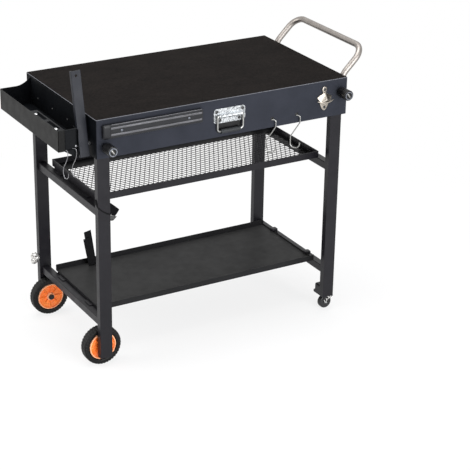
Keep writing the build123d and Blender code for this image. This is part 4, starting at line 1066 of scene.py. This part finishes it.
def white_floor():
    """Pale floor: plain diffuse white, which keeps the shadow; where it is seen a share of it is white of
    its own, and the share grows to the whole with the distance from the cart."""
    finish = bpy.data.materials.new("pale_floor")
    finish.use_nodes = True
    tree = finish.node_tree
    tree.nodes.clear()
    out = tree.nodes.new("ShaderNodeOutputMaterial")
    matt = tree.nodes.new("ShaderNodeBsdfDiffuse")
    glow = tree.nodes.new("ShaderNodeEmission")
    mix = tree.nodes.new("ShaderNodeMixShader")
    drift = clouds(tree, 3, 2)
    tree.links.new(mixed(tree, drift, (0.93, 0.93, 0.94, 1), (0.95, 0.95, 0.955, 1)), matt.inputs["Color"])
    glow.inputs["Color"].default_value = (1, 1, 1, 1)
    far = tree.nodes.new("ShaderNodeVectorMath")
    far.operation = "LENGTH"
    tree.links.new(coords(tree), far.inputs[0])
    share = ramp(tree, far.outputs["Value"], 0.5, 1.6, FLOOR_OWN_WHITE, 1.0)
    tree.links.new(sums(tree, "MULTIPLY", seen_white(tree), share), mix.inputs["Fac"])
    tree.links.new(matt.outputs["BSDF"], mix.inputs[1])
    tree.links.new(glow.outputs["Emission"], mix.inputs[2])
    tree.links.new(mix.outputs["Shader"], out.inputs["Surface"])
    return finish


def seen_white(tree):
    """1 for rays that show the background: from the camera, through glass or mirrored in a gloss."""
    path = tree.nodes.new("ShaderNodeLightPath")
    seen = sums(tree, "MAXIMUM", path.outputs["Is Camera Ray"], path.outputs["Is Transmission Ray"])
    return sums(tree, "MAXIMUM", seen, path.outputs["Is Glossy Ray"])


def studio_sky():
    """World: white where it is seen, a plain soft level where it lights."""
    world = bpy.data.worlds.new("studio")
    bpy.context.scene.world = world
    world.use_nodes = True
    tree = world.node_tree
    sky = tree.nodes["Background"]
    sky.inputs["Color"].default_value = (1, 1, 1, 1)
    tree.links.new(ramp(tree, seen_white(tree), 0, 1, SKY_LEVEL, 1.0), sky.inputs["Strength"])


def soft_box(name, place, aim, size, power, colour):
    """Square area lamp at a place, its face turned to the aim point."""
    lamp = bpy.data.lights.new(name, "AREA")
    lamp.shape = "SQUARE"
    lamp.size = size
    lamp.energy = power
    lamp.color = colour
    box = bpy.data.objects.new(name, lamp)
    bpy.context.scene.collection.objects.link(box)
    back = unit(np.asarray(place, float) - np.asarray(aim, float))
    right = unit(np.cross((0.0, 0.0, 1.0), back))
    up = np.cross(back, right)
    turn = np.eye(4)
    turn[:3, 0], turn[:3, 1], turn[:3, 2], turn[:3, 3] = right, up, back, place
    box.matrix_world = Matrix(turn.tolist())


floor_points = np.array([(-1, -1), (1, -1), (1, 1), (-1, 1)]) * FLOOR_HALF
floor = make_piece("floor", np.c_[floor_points, np.full(4, FLOOR_Z)], [[0, 1, 2, 3]], white_floor())
studio_sky()
soft_box("left", (-3.6, 0.9, 1.7), aim=(-0.2, 0, 0.3), size=2.2, power=75, colour=(1.0, 0.99, 0.97))
soft_box("front_fill", (0.3, -3.8, 1.3), aim=(0, 0, 0.4), size=2.6, power=160, colour=(0.97, 0.98, 1.0))
soft_box("top", (-0.3, 0.2, 4.2), aim=(0, 0, 0.4), size=3.2, power=160, colour=(1, 1, 1))

# the photograph's viewpoint: focal length in image widths, azimuth, elevation, roll, distance and aim
focal, azimuth, elevation, roll_angle, distance = 1579.5 / PHOTO_WIDE, -30.6, 23.98, 1.07, 4789.1
aim = np.array([-18.6, -341.7, 407.5])
az, el, roll = np.radians([azimuth, elevation, roll_angle])
back = np.array([np.sin(az) * np.cos(el), -np.cos(az) * np.cos(el), np.sin(el)])
level = np.array([np.cos(az), np.sin(az), 0.0])
rise = np.cross(back, level)
seen_right = np.cos(roll) * level + np.sin(roll) * rise
seen_up = np.cos(roll) * rise - np.sin(roll) * level
stand = np.eye(4)
stand[:3, 0], stand[:3, 1], stand[:3, 2] = seen_right, seen_up, back
stand[:3, 3] = put_in_frame(aim + back * distance)
lens = bpy.data.cameras.new("photo_view")
lens.sensor_fit = "HORIZONTAL"
lens.sensor_width = SENSOR_WIDE
lens.lens = SENSOR_WIDE * focal
lens.clip_end = 60.0
camera = bpy.data.objects.new("photo_view", lens)
camera.matrix_world = Matrix(stand.tolist())
bpy.context.scene.collection.objects.link(camera)
bpy.context.scene.camera = camera
bpy.context.scene.view_settings.view_transform = "Standard"
